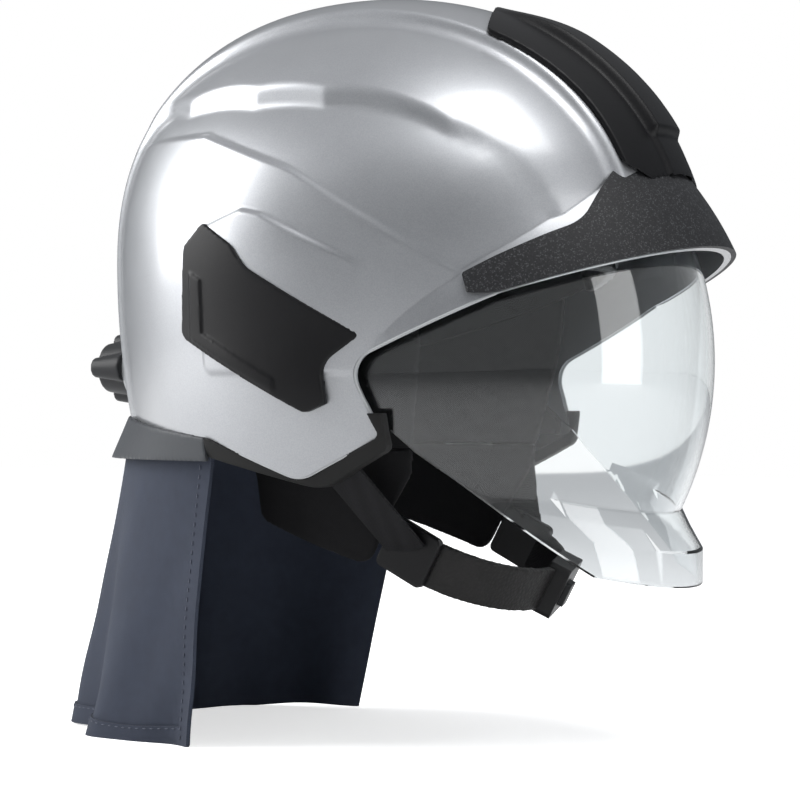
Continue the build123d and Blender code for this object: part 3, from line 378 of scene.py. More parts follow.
def grown_sphere(level, rounds, reach_of, bend):
    """Sphere moved out to a surface, its faces split where they bend by more than an angle."""
    body = bmesh.new()
    bmesh.ops.create_icosphere(body, subdivisions=level, radius=1)
    for turn in range(rounds + 1):
        ways = np.array([vertex.co for vertex in body.verts])
        ways /= np.linalg.norm(ways, axis=1)[:, None]
        for vertex, point in zip(body.verts, ways * reach_of(ways)[:, None] + dome_middle):
            vertex.co = point
        if turn < rounds:
            body.normal_update()
            bent = set()
            for edge in body.edges:
                middle = (edge.verts[0].co + edge.verts[1].co) / 2
                if edge.calc_face_angle(0) <= bend or middle.z <= fine_low_z:
                    continue
                if opening_table(np.array([middle.y]), np.array([middle.z]))[0] < fine_edge_gap:
                    bent.update(e for face in edge.link_faces for e in face.edges)
            bmesh.ops.subdivide_edges(body, edges=list(bent), cuts=1)
            bmesh.ops.triangulate(body, faces=[f for f in body.faces if len(f.verts) > 3])
            for vertex in body.verts:
                vertex.co -= Vector(dome_middle)
        else:
            bmesh.ops.scale(body, vec=(mm, mm, mm), verts=body.verts)
    return body


def prism(name, line, reach):
    """Closed prism over an outline of the side view, as far to the left as to the right."""
    body = bmesh.new()
    base = body.faces.new([body.verts.new((-reach * mm, y * mm, z * mm)) for y, z in line])
    made = bmesh.ops.extrude_face_region(body, geom=[base])
    moved = [item for item in made["geom"] if isinstance(item, bmesh.types.BMVert)]
    bmesh.ops.translate(body, verts=moved, vec=(2 * reach * mm, 0, 0))
    bmesh.ops.recalc_face_normals(body, faces=body.faces)
    return built(name, body)


def applied(piece):
    """Gives a piece the mesh that its modifiers make."""
    bpy.context.view_layer.update()
    seen = piece.evaluated_get(bpy.context.evaluated_depsgraph_get())
    mesh = bpy.data.meshes.new_from_object(seen)
    piece.modifiers.clear()
    piece.data = mesh
    return piece


def carve(piece, tool, operation):
    """Cuts a piece with a tool body, or keeps what they have in common, and removes the tool."""
    boolean = piece.modifiers.new("cut", "BOOLEAN")
    boolean.operation = operation
    boolean.object = tool
    boolean.solver = "EXACT"
    applied(piece)
    bpy.data.objects.remove(tool)
    return piece


def shaded(piece, angle):
    """Smooth shading, with edges sharper than an angle left crisp."""
    piece.data.polygons.foreach_set("use_smooth", [True] * len(piece.data.polygons))
    piece.data.set_sharp_from_angle(angle=radians(angle))
    return piece


class Field:
    """A value that varies over a surface: a node's output, whose operators add Math nodes."""

    def __init__(self, tree, socket=None):
        self.tree = tree
        self.socket = socket

    def node(self, kind, values=None, output=0, stops=None, **settings):
        """Adds a node: its settings, then its ramp's stops, then its sockets' values or links."""
        made = self.tree.nodes.new("ShaderNode" + kind)
        for name, value in settings.items():
            setattr(made, name, value)
        if stops:
            ends = zip(made.color_ramp.elements, (stops[0], stops[-1]))
            for element, (place, colour) in ends:
                element.position = place
                element.color = (*colour, 1)
            for place, colour in stops[1:-1]:
                made.color_ramp.elements.new(place).color = (*colour, 1)
        for name, value in (values or {}).items():
            if isinstance(value, Field):
                self.tree.links.new(value.socket, made.inputs[name])
            else:
                made.inputs[name].default_value = value
        return Field(self.tree, made.outputs[output])

    def maths(self, operation, first, second):
        return self.node("Math", {0: first, 1: second}, operation=operation)

    def __add__(self, other):
        return self.maths("ADD", self, other)

    def __sub__(self, other):
        return self.maths("SUBTRACT", self, other)

    def __rsub__(self, other):
        return self.maths("SUBTRACT", other, self)

    def __mul__(self, other):
        return self.maths("MULTIPLY", self, other)


def object_place(root):
    """Coordinates of the piece in metres."""
    return root.node("TexCoord", output="Object")


def noise(root, scale, detail, stretch=(1, 1, 1)):
    """Smooth noise, its grain about one over the scale in metres."""
    place = root.node("Mapping", {"Vector": object_place(root), "Scale": stretch})
    return root.node("TexNoise", {"Vector": place, "Scale": scale, "Detail": detail})


def tint(share, first, second):
    """Colour between two colours by a share."""
    sockets = {0: share, 6: (*first, 1), 7: (*second, 1)}
    return share.node("Mix", sockets, output=2, data_type="RGBA")


def bump(height, depth, before=None):
    """Normal from a height of 0 to 1 that stands for a depth in metres."""
    sockets = {"Height": height, "Distance": depth, "Strength": 1.0}
    if before:
        sockets["Normal"] = before
    return height.node("Bump", sockets)


def material(name, finish):
    """Material whose Principled shader takes what a function of its tree's root returns."""
    made = bpy.data.materials.new(name)
    made.use_nodes = True
    tree = made.node_tree
    shader = next(node for node in tree.nodes if node.type == "BSDF_PRINCIPLED")
    for socket, value in finish(Field(tree)).items():
        if isinstance(value, Field):
            tree.links.new(value.socket, shader.inputs[socket])
        else:
            shader.inputs[socket].default_value = value
    return made


def dressed(piece, look, nodes=(), body="helmet"):
    """Gives a piece its material and its body, and hides the nodes that it stands for."""
    piece.data.materials.clear()
    piece.data.materials.append(look)
    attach(piece, body)
    if nodes:
        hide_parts(*nodes)
    return piece


def pearl(root):
    """Silver pearl lacquer: fine flakes under a clear coat, faint clouds in its tone."""
    flakes = root.node("TexVoronoi", {"Vector": object_place(root), "Scale": 2600.0}, "Color")
    flake = root.node("SeparateColor", {0: flakes}, "Red")
    clouds = noise(root, 14.0, 3.0)
    tone = flake * 0.22 + clouds * 0.5
    return {
        "Base Color": tint(tone, (0.26, 0.267, 0.28), (0.46, 0.47, 0.49)),
        "Metallic": 0.75,
        "Roughness": flake * 0.10 + clouds * 0.06 + 0.34,
        "Coat Weight": 0.8,
        "Coat Roughness": 0.16,
        "Normal": bump(noise(root, 260.0, 2.0), 0.00002),
    }


shell_lacquer = material("shell_lacquer", pearl)
shell_level, shell_rounds, shell_bend = ((6, 3, 0.10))
outer_shell = built(
    "outer_shell_lacquered", grown_sphere(shell_level, shell_rounds, shell_reach, shell_bend)
)
hollow = built(
    "shell_hollow",
    grown_sphere(shell_level, 1, lambda ways: shell_reach(ways, shell_wall), 2 * shell_bend),
)
carve(outer_shell, prism("opening", opening_line, 200), "INTERSECT")
carve(outer_shell, hollow, "DIFFERENCE")
shaded(outer_shell, 40)
dressed(outer_shell, shell_lacquer, nodes=["outer_shell"])

# Painted highlight on the shell's rim
# A thin pale bead along the face opening and the lower edge, where the shell meets the rubber
# edging and the nape guard; its pale grey is a painted highlight of the rounded rim.
rim_bead_radius, rim_bead_inset, rim_bead_front_y = 0.75, 0.5, -84.0
point_gap = 2.0
widest, mid_plane_gap = 135.0, 1.5


def line_on_shell(line, inset):
    """Points on the shell's right side over a line of the side view, where it reaches the shell."""
    line = np.array(line)
    near, far = np.zeros(len(line)), np.full(len(line), widest)
    for _ in range(16):
        x = (near + far) / 2
        ways = np.column_stack((x, line - dome_middle[1:]))
        lengths = np.linalg.norm(ways, axis=1)
        inside = lengths < shell_reach(ways / lengths[:, None], inset)
        near, far = np.where(inside, x, near), np.where(inside, far, x)
    return [Vector((-x, y, z)) for x, (y, z) in zip(near, line) if x > mid_plane_gap]


def bead(name, points, radius):
    """Round bead of constant thickness along points in millimetres."""
    curve = bpy.data.curves.new(name, "CURVE")
    curve.dimensions = "3D"
    curve.bevel_depth = radius * mm
    curve.bevel_resolution = 2
    curve.use_fill_caps = True
    spline = curve.splines.new("POLY")
    spline.points.add(len(points) - 1)
    for place, point in zip(spline.points, points):
        place.co = (*(Vector(point) * mm), 1)
    rod = bpy.data.objects.new(name + "_line", curve)
    bpy.context.scene.collection.objects.link(rod)
    bpy.context.view_layer.update()
    mesh = bpy.data.meshes.new_from_object(
        rod.evaluated_get(bpy.context.evaluated_depsgraph_get())
    )
    bpy.data.objects.remove(rod)
    mesh.name = name
    piece = bpy.data.objects.new(name, mesh)
    bpy.context.scene.collection.objects.link(piece)
    return piece


def moulding(dark, light, roughness, grain=900.0):
    """Finish of a moulded plastic: fine spark grain, faint clouds and a slightly uneven sheen."""

    def finish(root):
        fine = noise(root, grain, 2.0)
        clouds = noise(root, 22.0, 3.0)
        return {
            "Base Color": tint(clouds * 0.7 + fine * 0.3, dark, light),
            "Roughness": clouds * 0.12 + fine * 0.08 + (roughness - 0.1),
            "Specular IOR Level": 0.18,
            "Normal": bump(fine, 0.00003, bump(clouds, 0.00015)),
        }

    return finish


edge_line = []
for first, second in zip(opening_line[:-3], opening_line[1:-2]):
    run = second - first
    step = point_gap / max(np.linalg.norm(run), point_gap)
    edge_line += [first + run * share for share in np.arange(0, 1, step)]
edge_line = [(y, z) for y, z in edge_line if y > rim_bead_front_y]
edge_points = line_on_shell(edge_line, rim_bead_inset)
edge_points += [Vector((-p.x, p.y, p.z)) for p in reversed(edge_points)]
# The bead's pale grey is a painted highlight along the shell's rounded rim.
rim_highlight_bead = bead("painted_rim_highlight", edge_points, rim_bead_radius)
rim_highlight_look = material("rim_highlight_paint", moulding((0.32, 0.33, 0.34), (0.42, 0.43, 0.44), 0.35))
dressed(shaded(rim_highlight_bead, 60), rim_highlight_look)


# Front cap
# Cover of matte black moulded nylon over the front of the crest, snapped on from the front: a
# ridge that narrows forwards and ends at a low, plain facet.
def moulded(node, name, voxel, rounds=4):
    """Copy of a part's form with the rounded edges that a mould gives."""
    body = bmesh.new()
    body.from_mesh(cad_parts[node].data)
    bmesh.ops.remove_doubles(body, verts=body.verts, dist=0.002 * mm)
    piece = built(name, body)
    remesh = piece.modifiers.new("even", "REMESH")
    remesh.mode = "VOXEL"
    remesh.voxel_size = voxel * mm * 1
    smooth = piece.modifiers.new("round", "SMOOTH")
    smooth.factor = 0.5
    smooth.iterations = rounds
    applied(piece)
    return shaded(piece, 50)


cover_dark, cover_light = (0.0025, 0.0025, 0.003), (0.007, 0.007, 0.008)
cover_look = material("cover_nylon", moulding(cover_dark, cover_light, 0.42))
ridge_half_width, ridge_taper, ridge_side = 21.0, 7.0, 5.0
ridge_rise, ridge_ramp = 5.0, 0.35
facet_start, facet_ramp, facet_rise = 0.80, 0.04, 1.6
cap_rear_turn, cap_front_turn = 65.0, 12.5
cap_skin = 1.2


def eased(share):
    """Share from 0 to 1 that starts and ends softly."""
    share = np.clip(share, 0, 1)
    return share * share * (3 - 2 * share)


front_cap = moulded("front_cap", "front_cap_moulded", 0.8, 3)
cap_points = np.array([vertex.co for vertex in front_cap.data.vertices]) / mm - dome_middle
cap_lengths = np.linalg.norm(cap_points, axis=1)
cap_ways = cap_points / cap_lengths[:, None]
cap_depth = cap_lengths - shell_reach(cap_ways)
cap_turn = np.degrees(np.arctan2(cap_points[:, 2], -cap_points[:, 1]))
cap_along = (cap_rear_turn - cap_turn) / (cap_rear_turn - cap_front_turn)
cap_half_width = ridge_half_width - ridge_taper * np.clip(cap_along, 0, 1)
cap_rise = ridge_rise * eased(cap_along / ridge_ramp)
cap_rise += (facet_rise - cap_rise) * eased((cap_along - facet_start) / facet_ramp)
cap_rise *= eased((cap_half_width - abs(cap_points[:, 0])) / ridge_side + 0.5)
cap_rise *= eased((cap_depth - cap_skin) / cap_skin)
for vertex, way, rise in zip(front_cap.data.vertices, cap_ways, cap_rise):
    vertex.co += Vector(way) * rise * mm
shaded(front_cap, 40)
dressed(front_cap, cover_look, nodes=["front_cap"])


# Brow guard
# Charcoal moulding with a flared peak, bonded over the brow; its fine pale speckle is the filler
# that shows in the grained surface.
def copied(node, name, angle):
    """Copy of a part's form with its joined surfaces shaded smooth."""
    body = bmesh.new()
    body.from_mesh(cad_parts[node].data)
    bmesh.ops.remove_doubles(body, verts=body.verts, dist=0.002 * mm)
    return shaded(built(name, body), angle)


def speckled(root):
    """Charcoal grained plastic with pale specks."""
    grain = root.node("TexVoronoi", {"Vector": object_place(root), "Scale": 1900.0}, "Color")
    speck = root.node("SeparateColor", {0: grain}, "Red")
    dark, light = (0.0,) * 3, (1.0,) * 3
    speck = root.node("ValToRGB", {0: speck}, stops=[(0.0, dark), (0.82, dark), (0.95, light)])
    fine = noise(root, 1100.0, 2.0)
    return {
        "Base Color": tint(speck * 0.5 + fine * 0.2, (0.008, 0.008, 0.009), (0.085, 0.088, 0.094)),
        "Roughness": fine * 0.15 + 0.45,
        "Specular IOR Level": 0.2,
        "Normal": bump(fine, 0.00004),
    }


brow_trim = copied("brow_trim", "brow_guard_moulded", 40)
dressed(brow_trim, material("brow_grained", speckled), nodes=["brow_trim"])

# Side plates
# Matte black covers over the mounting points, set in a shallow recess of the hood, with one
# raised rib each.
for side in ("right", "left"):
    plate = moulded("side_plate_" + side, "side_plate_%s_moulded" % side, 0.7, 3)
    dressed(plate, cover_look, nodes=["side_plate_" + side])

# Nape guard
# Mid grey moulded strip over the lower rear edge of the shell. The neck curtain comes out from
# under it.
guard_dark, guard_light = (0.042, 0.045, 0.050), (0.062, 0.066, 0.072)
guard_look = material("guard_plastic", moulding(guard_dark, guard_light, 0.45))
nape_guard = moulded("nape_guard", "nape_guard_moulded", 1.0)
dressed(nape_guard, guard_look, nodes=["nape_guard"])


# Rubber edging
# Black extruded rubber pushed on the shell's lower edge beside the ear, with a dull bloom. The
# buffers that the lowered face shield rests on are of the same rubber.
def rubbery(root):
    """Black rubber: soft clouds of bloom and a fine mould grain."""
    clouds = noise(root, 35.0, 4.0)
    fine = noise(root, 700.0, 2.0)
    return {
        "Base Color": tint(clouds, (0.003, 0.003, 0.003), (0.012, 0.012, 0.012)),
        "Roughness": clouds * 0.2 + 0.5,
        "Specular IOR Level": 0.2,
        "Normal": bump(fine, 0.00005),
    }


def kept(look, *nodes):
    """Gives parts that keep their form a material."""
    for node in nodes:
        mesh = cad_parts[node].data
        mesh.materials.clear()
        mesh.materials.append(look)


rubber_look = material("edge_rubber_black", rubbery)
for side in ("right", "left"):
    trim = moulded("edge_trim_" + side, "edge_trim_%s_moulded" % side, 0.7, 3)
    dressed(trim, rubber_look, nodes=["edge_trim_" + side])
    kept(rubber_look, "visor_buffer_" + side)

# Face shield
# Clear polycarbonate injection moulding: a spheroid round the hinge, a lip along its lower edge
# that turns outwards and down, and an ear on each side that sits on the pivot.
hinge_y, hinge_z, ear_radius = 14.0, 2.0, 24
visor_half_width, visor_radius, visor_wall = 109.0, 157.5, 2.5
visor_rings = 110
smallest_ring = 4
lip_rise = radians(14.2)
lip_root = (-60.0, -51.0)
lip_along, lip_above, lip_low_along = 84.74, 33.23, 78.67

# Ellipses of the lip: height, centre and half axes; the hollow has one more, to cut through below
lip_lines = (
    (-7.0, lip_along, 105.0, 160.6),
    (-15.0, lip_along, 102.7, 169.4),
    (-39.0, lip_low_along, 102.7, 169.4),
)
lip_inner_low = (-46.0, lip_low_along, 100.2, 166.9)
lip_turn = Matrix(
    ((1, 0, 0), (0, cos(lip_rise), -sin(lip_rise)), (0, sin(lip_rise), cos(lip_rise)))
).to_4x4()
lip_frame = Matrix.Translation(Vector((0, *lip_root)) * mm) @ lip_turn
visor_outline = [
    (hinge_y + ear_radius * cos(radians(turn)), hinge_z + ear_radius * sin(radians(turn)))
    for turn in range(90, -146, -9)
] + [
    (-15.97, -17.88),
    (-26.0, -25.05),
    (-34.0, -29.6),
    (-43.9, -39.0),
    (-59.5, -51.3),
    (-112.0, -94.95),
    (-145.3, -103.6),
    (-185.0, -103.6),
    (-185.0, 60.16),
    (-72.8, 60.16),
    (-19.5, 47.6),
]
visor_front_half = [(-190, -110), (30, -110), (40, 70), (-190, 70)]


def visor_sections(inset):
    """Ellipses of the visor in planes parallel to its lip: height, centre and half axes."""
    sections = []
    for turn in np.linspace(-88, 80, visor_rings):
        height = lip_above - visor_radius * sin(radians(turn))
        if height < 0:
            continue
        share = cos(radians(turn))
        sections.append((height, lip_along, visor_half_width * share, visor_radius * share))
    share = sqrt(1 - (lip_above / visor_radius) ** 2)
    sections.append((0.0, lip_along, visor_half_width * share, visor_radius * share))
    sections += lip_lines
    return [(h, c, a - inset, b - inset) for h, c, a, b in sections if a > inset + smallest_ring]


def stacked(name, sections, segments=200):
    """Closed body through ellipses that lie above each other."""
    body = bmesh.new()

    def place(section):
        height, centre, across, along = (value * mm for value in section)
        return (
            lip_frame
            @ Matrix.Translation((0, centre, height))
            @ Matrix.Diagonal((across, along, 1, 1))
        )

    bmesh.ops.create_circle(body, segments=segments, radius=1, matrix=place(sections[0]))
    ring = list(body.edges)
    for before, after in zip(sections[:-1], sections[1:]):
        made = bmesh.ops.extrude_edge_only(body, edges=ring)["geom"]
        moved = {item for item in made if isinstance(item, bmesh.types.BMVert)}
        ring = [
            item
            for item in made
            if isinstance(item, bmesh.types.BMEdge) and set(item.verts) <= moved
        ]
        turn = place(after) @ place(before).inverted()
        bmesh.ops.transform(body, matrix=turn, verts=list(moved))
    bmesh.ops.holes_fill(body, edges=body.edges, sides=0)
    bmesh.ops.recalc_face_normals(body, faces=body.faces)
    return built(name, body)


def clear(root):
    """Clear polycarbonate with a faint cool tone and hardly visible moulding waves."""
    waves = noise(root, 9.0, 1.0)
    return {
        "Base Color": (0.93, 0.96, 0.97, 1),
        "Roughness": waves * 0.02 + 0.015,
        "IOR": 1.5,
        "Transmission Weight": 1.0,
        "Normal": bump(waves, 0.0002),
    }


visor = stacked("face_shield_clear", visor_sections(0))
visor_inner = stacked("visor_inner", visor_sections(visor_wall) + [lip_inner_low])
carve(visor, visor_inner, "DIFFERENCE")
carve(visor, prism("visor_region", visor_outline, 130), "INTERSECT")
carve(visor, prism("front_half", visor_front_half, 131), "INTERSECT")
visor_look = material("polycarbonate_clear", clear)
dressed(shaded(visor, 30), visor_look, ["face_shield"], "visor")


# Neck curtain
# Flame resistant woven cloth, cut as one panel, hemmed and stitched at its sides and its lower
# edge, hung from the rail inside the nape guard; its folds grow towards the hem.
curtain_top_z, curtain_seat_z, curtain_low_z = -34.0, -44.0, -178.0

# Half ellipses of the cloth: height, half width, rear half length, and the Y of its centre and ends
curtain_lines = (
    (curtain_top_z, 107.8, 132.7, 16.0, 58.7),
    (curtain_seat_z, 105.7, 139.2, 16.0, 58.7),
    (curtain_low_z, 93.0, 150.0, 35.0, 83.0),
)
curtain_folds, curtain_fold = 9, 6.5
cloth_thick = 1.2
hem_width, hem_out, hem_thick = 9.0, 1.1, 1.6


def curtain_point(u, v, out=0.0):
    """Point of the cloth: u runs round it from side to side, v down it."""
    z = curtain_top_z + v * (curtain_low_z - curtain_top_z)
    first, second = curtain_lines[:2] if z > curtain_seat_z else curtain_lines[1:]
    t = (z - first[0]) / (second[0] - first[0])
    across, along, centre, front = (a + t * (b - a) for a, b in zip(first[1:], second[1:]))
    fall = max(0.0, (curtain_seat_z - z) / (curtain_seat_z - curtain_low_z))
    start = asin((front - centre) / along)
    turn = start + (pi - 2 * start) * u

    # Main folds that lean a little, broad dents between them, small creases, and an uneven hem
    lean = u + 0.018 * fall * sin(5.2 * pi * u + 0.6)
    swing = -curtain_fold * fall**1.15 * sin(curtain_folds * pi * lean)
    swing -= 1.6 * fall * sin(23 * u + 3.1 * fall) * sin(7.0 * u + 1.3)
    swing += 0.5 * fall * sin(61 * u + 9 * fall) + 0.35 * sin(17 * fall + 11 * u) * fall
    reach = swing + out - 1.0
    sag = 1.6 * fall * (sin(11.3 * u + 0.8) + 0.5 * sin(27 * u)) * v
    return Vector(((across + reach) * cos(turn), centre + (along + reach) * sin(turn), z + sag))


def curtain_strip(name, around, down, columns, rows, out, thickness):
    """Strip of cloth between two places round the curtain and two heights, with its own UV map."""
    body = bmesh.new()
    uv = body.loops.layers.uv.new("cloth")
    bmesh.ops.create_grid(body, x_segments=columns, y_segments=rows, size=0.5)

    def place(vertex):
        return (
            around[0] + (vertex.co.x + 0.5) * (around[1] - around[0]),
            down[0] + (vertex.co.y + 0.5) * (down[1] - down[0]),
        )

    for face in body.faces:
        for loop in face.loops:
            loop[uv].uv = place(loop.vert)
    for vertex in body.verts:
        vertex.co = curtain_point(*place(vertex), out) * mm
    bmesh.ops.recalc_face_normals(body, faces=body.faces)
    piece = built(name, body)
    thick = piece.modifiers.new("cloth", "SOLIDIFY")
    thick.thickness = thickness * mm
    thick.offset = 0
    applied(piece)
    return shaded(piece, 80)


def woven(root):
    """Navy plain weave on the cloth's own map, with slubs, painted light on its ridges and a soft
    fuzz.
    """
    place = root.node("UVMap", uv_map="cloth")
    across = root.node("SeparateXYZ", {0: place}, "X")
    down = root.node("SeparateXYZ", {0: place}, "Y")
    warp = root.maths("SINE", across * 3400.0, 0.0)
    weft = root.maths("SINE", down * 1150.0, 0.0)
    slubs = noise(root, 160.0, 4.0)
    clouds = noise(root, 18.0, 4.0)
    thread = warp * weft * 0.5 + 0.5
    # Painted light where threads and ridges stand up, painted shade in the hollows between them.
    tone = thread * 0.3 + slubs * 0.35 + clouds * 0.35
    return {
        "Base Color": tint(tone, (0.012, 0.015, 0.025), (0.052, 0.062, 0.090)),
        "Roughness": slubs * 0.15 + 0.78,
        "Specular IOR Level": 0.2,
        "Sheen Weight": 0.06,
        "Normal": bump(thread * 0.6 + slubs * 0.4, 0.0002, bump(clouds, 0.0015)),
    }


cloth_look = material("curtain_woven", woven)
columns, rows = ((520, 110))
curtain = curtain_strip("neck_curtain_cloth", (0, 1), (0, 1), columns, rows, 0, cloth_thick)
dressed(curtain, cloth_look, nodes=["neck_curtain"])

# The hems: where each lies round the cloth and down it, and its columns and rows
side_share = 0.022
hem_share = hem_width / (curtain_top_z - curtain_low_z)
side_down = (0.04, 1.003)
hem_places = {
    "curtain_hem_low": ((0, 1), (1 - hem_share, 1.004), columns, 8),
    "curtain_hem_right": ((-0.002, side_share), side_down, 12, rows),
    "curtain_hem_left": ((1 - side_share, 1.002), side_down, 12, rows),
}
hems = [curtain_strip(name, *place, hem_out, hem_thick) for name, place in hem_places.items()]
for hem in hems:
    dressed(hem, cloth_look)

seam_out, seam_low, seam_side = 2.1, 1 - hem_share * 0.86, side_share * 0.8
seam_around, seam_down = np.linspace(0.01, 0.99, 420), np.linspace(0.06, 0.985, 130)
stitch_body = bmesh.new()
stitch_lines = [
    [curtain_point(u, seam_low, seam_out) for u in seam_around],
    [curtain_point(seam_side, v, seam_out) for v in seam_down],
    [curtain_point(1 - seam_side, v, seam_out) for v in seam_down],
]


def sewn(body, line, gap=1.7, length=2.6, radius=0.34):
    """Adds a row of stitches: short round threads laid end to end along a line of points."""
    walked, last = 0.0, line[0]
    for point in line[1:]:
        walked += (point - last).length
        if walked > length + gap:
            run = (point - last).normalized()
            turn = run.to_track_quat("X", "Z").to_matrix().to_4x4()
            size = Matrix.Diagonal((length * mm / 2, radius * mm, radius * mm, 1))
            place = Matrix.Translation(point * mm) @ turn @ size
            bmesh.ops.create_icosphere(body, subdivisions=1, radius=1, matrix=place)
            walked = 0.0
        last = point


for line in stitch_lines:
    dense = []
    for a, b in zip(line[:-1], line[1:]):
        dense += [a.lerp(b, t) for t in (0, 0.25, 0.5, 0.75)]
    sewn(stitch_body, dense)
stitches = built("curtain_stitches", stitch_body)


def threaded(root):
    """Dark polished thread."""
    twist = noise(root, 1500.0, 1.0, stretch=(1, 1, 3))
    return {
        "Base Color": tint(twist, (0.03, 0.036, 0.055), (0.09, 0.10, 0.14)),
        "Roughness": twist * 0.2 + 0.5,
        "Normal": bump(twist, 0.00005),
    }


thread_look = material("sewing_thread", threaded)
dressed(shaded(stitches, 80), thread_look)

# Curtain rail and the plain moulded parts of the mechanism
# Black glass filled nylon: the rail that clamps the curtain, pivot brackets, hubs, harness
# hangers, head band, the size adjustment and the strap anchors. They keep their form from
# model.glb.
nylon_dark, nylon_light = (0.005, 0.005, 0.0055), (0.014, 0.014, 0.015)
nylon_look = material("nylon_black", moulding(nylon_dark, nylon_light, 0.4, 700.0))
kept(nylon_look, "curtain_rail", "headband", "hanger_front", "hanger_rear")
kept(nylon_look, "nape_cradle", "rack_cover", "rack_left", "rack_right")
kept(nylon_look, "pinion_shaft", "knob_bush", "knob_foot")
for side in ("right", "left"):
    kept(nylon_look, "pivot_bracket_" + side, "visor_hub_" + side, "hanger_" + side)
    kept(nylon_look, "strap_anchor_" + side)


# Pivot screws
# Zinc plated steel, with faint marks left by turning.
def plated(root):
    """Zinc plated steel with fine turning marks and a slight blue cloudiness."""
    marks = noise(root, 900.0, 2.0, stretch=(6, 1, 1))
    clouds = noise(root, 60.0, 3.0)
    return {
        "Base Color": tint(clouds, (0.50, 0.52, 0.56), (0.66, 0.66, 0.64)),
        "Metallic": 1.0,
        "Roughness": marks * 0.15 + 0.22,
        "Normal": bump(marks, 0.00001),
    }


kept(material("zinc_steel", plated), "pivot_screw_right", "pivot_screw_left")

# Size knob
# Dark moulded head with three lobes over a pale ring, turned by hand at the back of the shell.
knob = moulded("size_knob", "size_knob_moulded", 0.6, 3)
knob_dark, knob_light = (0.014, 0.0145, 0.0155), (0.030, 0.031, 0.033)
knob_look = material("knob_nylon", moulding(knob_dark, knob_light, 0.42))
dressed(knob, knob_look, ["size_knob"], "knob")
ring_dark, ring_light = (0.42, 0.43, 0.44), (0.54, 0.55, 0.56)
kept(material("ring_pale", moulding(ring_dark, ring_light, 0.4)), "knob_ring")


# Impact liner
# Black energy absorbing foam, moulded from beads that still show at its surface.
def beaded(root):
    """Fused foam beads."""
    beads = root.node("TexVoronoi", {"Vector": object_place(root), "Scale": 330.0}, "Distance")
    clouds = noise(root, 30.0, 2.0)
    tone = beads * 0.7 + clouds * 0.3
    return {
        "Base Color": tint(tone, (0.030, 0.030, 0.033), (0.014, 0.014, 0.015)),
        "Roughness": clouds * 0.1 + 0.6,
        "Specular IOR Level": 0.3,
        "Normal": bump(1.0 - beads, 0.0006),
    }


kept(material("liner_beads", beaded), "impact_liner")


# Textile lining
# Flame resistant knitted lining over thin padding: a panel beside each ear, the neck band below
# it, and the pad under the crown straps.
def knitted(root):
    """Black knit: fine wales and courses, a little fluff and soft hollows."""
    place = object_place(root)
    across = root.node("SeparateXYZ", {0: place}, "Y")
    down = root.node("SeparateXYZ", {0: place}, "Z")
    wale = root.maths("SINE", across * 5200.0, 0.0)
    course = root.maths("SINE", down * 6400.0, 0.0)
    fluff = noise(root, 500.0, 3.0)
    hollows = noise(root, 40.0, 2.0)
    loops = wale * course * 0.5 + 0.5
    # Painted shade: darker between the raised loops; the fluff is random tone.
    tone = loops * 0.3 + fluff * 0.7
    return {
        "Base Color": tint(tone, (0.003, 0.003, 0.0035), (0.010, 0.010, 0.011)),
        "Roughness": fluff * 0.12 + 0.8,
        "Specular IOR Level": 0.15,
        "Normal": bump(loops * 0.7 + fluff * 0.3, 0.0001, bump(hollows, 0.002)),
    }


knit_look = material("lining_knit", knitted)
for side in ("right", "left"):
    for part in ("temple_lining_", "neck_band_"):
        lining = moulded(part + side, part + side + "_knit", 1.2, 6)
        dressed(lining, knit_look, nodes=[part + side])
crown_pad = moulded("crown_pad", "crown_pad_knit", 1.5, 8)
dressed(crown_pad, knit_look, nodes=["crown_pad"])


# Leather covered pads
# Soft black leather over foam, where the head bears on it: at the brow, the nape and the chin.
def leather(root):
    """Black leather: pebble grain, creases and a light polish on the high places."""
    pebbles = root.node("TexVoronoi", {"Vector": object_place(root), "Scale": 620.0}, "Distance")
    creases = noise(root, 90.0, 5.0)
    grain = pebbles * 0.6 + creases * 0.4
    return {
        "Base Color": tint(creases, (0.005, 0.005, 0.005), (0.016, 0.015, 0.015)),
        "Roughness": grain * 0.3 + 0.36,
        "Specular IOR Level": 0.22,
        "Normal": bump(1.0 - grain, 0.0003),
    }


leather_look = material("pad_leather_black", leather)
for pad, voxel in (("brow_pad", 1.5), ("nape_pad", 1.5), ("chin_pad", 1.0)):
    cushion = moulded(pad, pad + "_covered", voxel, 6)
    dressed(cushion, leather_look, nodes=[pad])


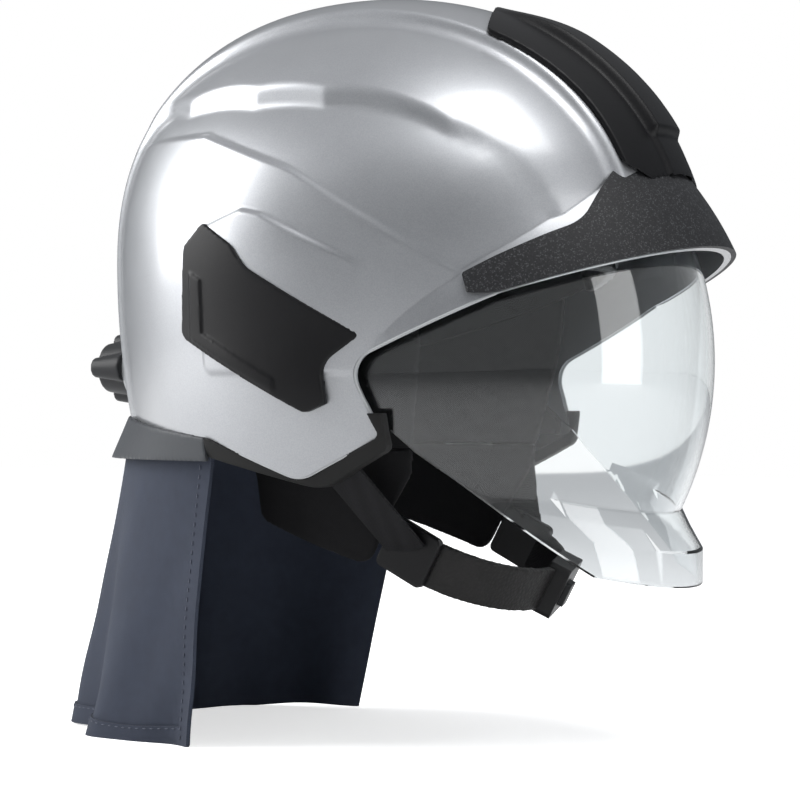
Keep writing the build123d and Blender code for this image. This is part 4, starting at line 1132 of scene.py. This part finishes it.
# Straps
# Black polyester webbing: two crown straps that carry the head, and the chin strap with its side
# straps, which hang from anchors in the shell and lead through sliders.
def webbing(root):
    """Ribbed black webbing."""
    place = object_place(root)
    first = root.node("SeparateXYZ", {0: place}, "X") + root.node("SeparateXYZ", {0: place}, "Y")
    second = root.node("SeparateXYZ", {0: place}, "Z") - root.node("SeparateXYZ", {0: place}, "Y")
    ribs = root.maths("SINE", first * 4300.0, 0.0) * root.maths("SINE", second * 3600.0, 0.0)
    fluff = noise(root, 600.0, 3.0)
    height = ribs * 0.5 + 0.5
    # Painted shade: darker in the grooves between the raised ribs; the fluff is random tone.
    tone = height * 0.5 + fluff * 0.5
    return {
        "Base Color": tint(tone, (0.003, 0.003, 0.0035), (0.014, 0.014, 0.016)),
        "Roughness": fluff * 0.15 + 0.65,
        "Specular IOR Level": 0.2,
        "Normal": bump(height, 0.00025),
    }


def strap(node):
    """Copy of a strap's form with its long edges rounded."""
    body = bmesh.new()
    body.from_mesh(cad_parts[node].data)
    bmesh.ops.remove_doubles(body, verts=body.verts, dist=0.002 * mm)
    bmesh.ops.dissolve_limit(body, angle_limit=radians(1), verts=body.verts, edges=body.edges)
    sharp = [edge for edge in body.edges if edge.calc_face_angle(0) > radians(50)]
    bmesh.ops.bevel(
        body,
        geom=sharp,
        offset=0.35 * mm,
        offset_type="OFFSET",
        segments=2,
        profile=0.5,
        affect="EDGES",
        clamp_overlap=True,
        material=-1,
    )
    return shaded(built(node + "_webbing", body), 45)


webbing_look = material("webbing_black", webbing)
crown_straps = ("crown_strap_across", "crown_strap_along")
chin_straps = ("side_strap_right", "side_strap_left", "chin_strap")
for node in crown_straps + chin_straps:
    dressed(strap(node), webbing_look, nodes=[node])

# Sliders and buckle
# Black moulded nylon: a slider at each junction of the side straps, and a buckle whose tongue is
# freed by a spring loaded button.
for node in ("strap_slider_right", "strap_slider_left", "buckle_housing", "buckle_tongue"):
    fitting = moulded(node, node + "_moulded", 0.5, 2)
    dressed(fitting, nylon_look, nodes=[node])
button = moulded("release_button", "release_button_moulded", 0.4, 2)
dressed(button, knob_look, ["release_button"], "button")
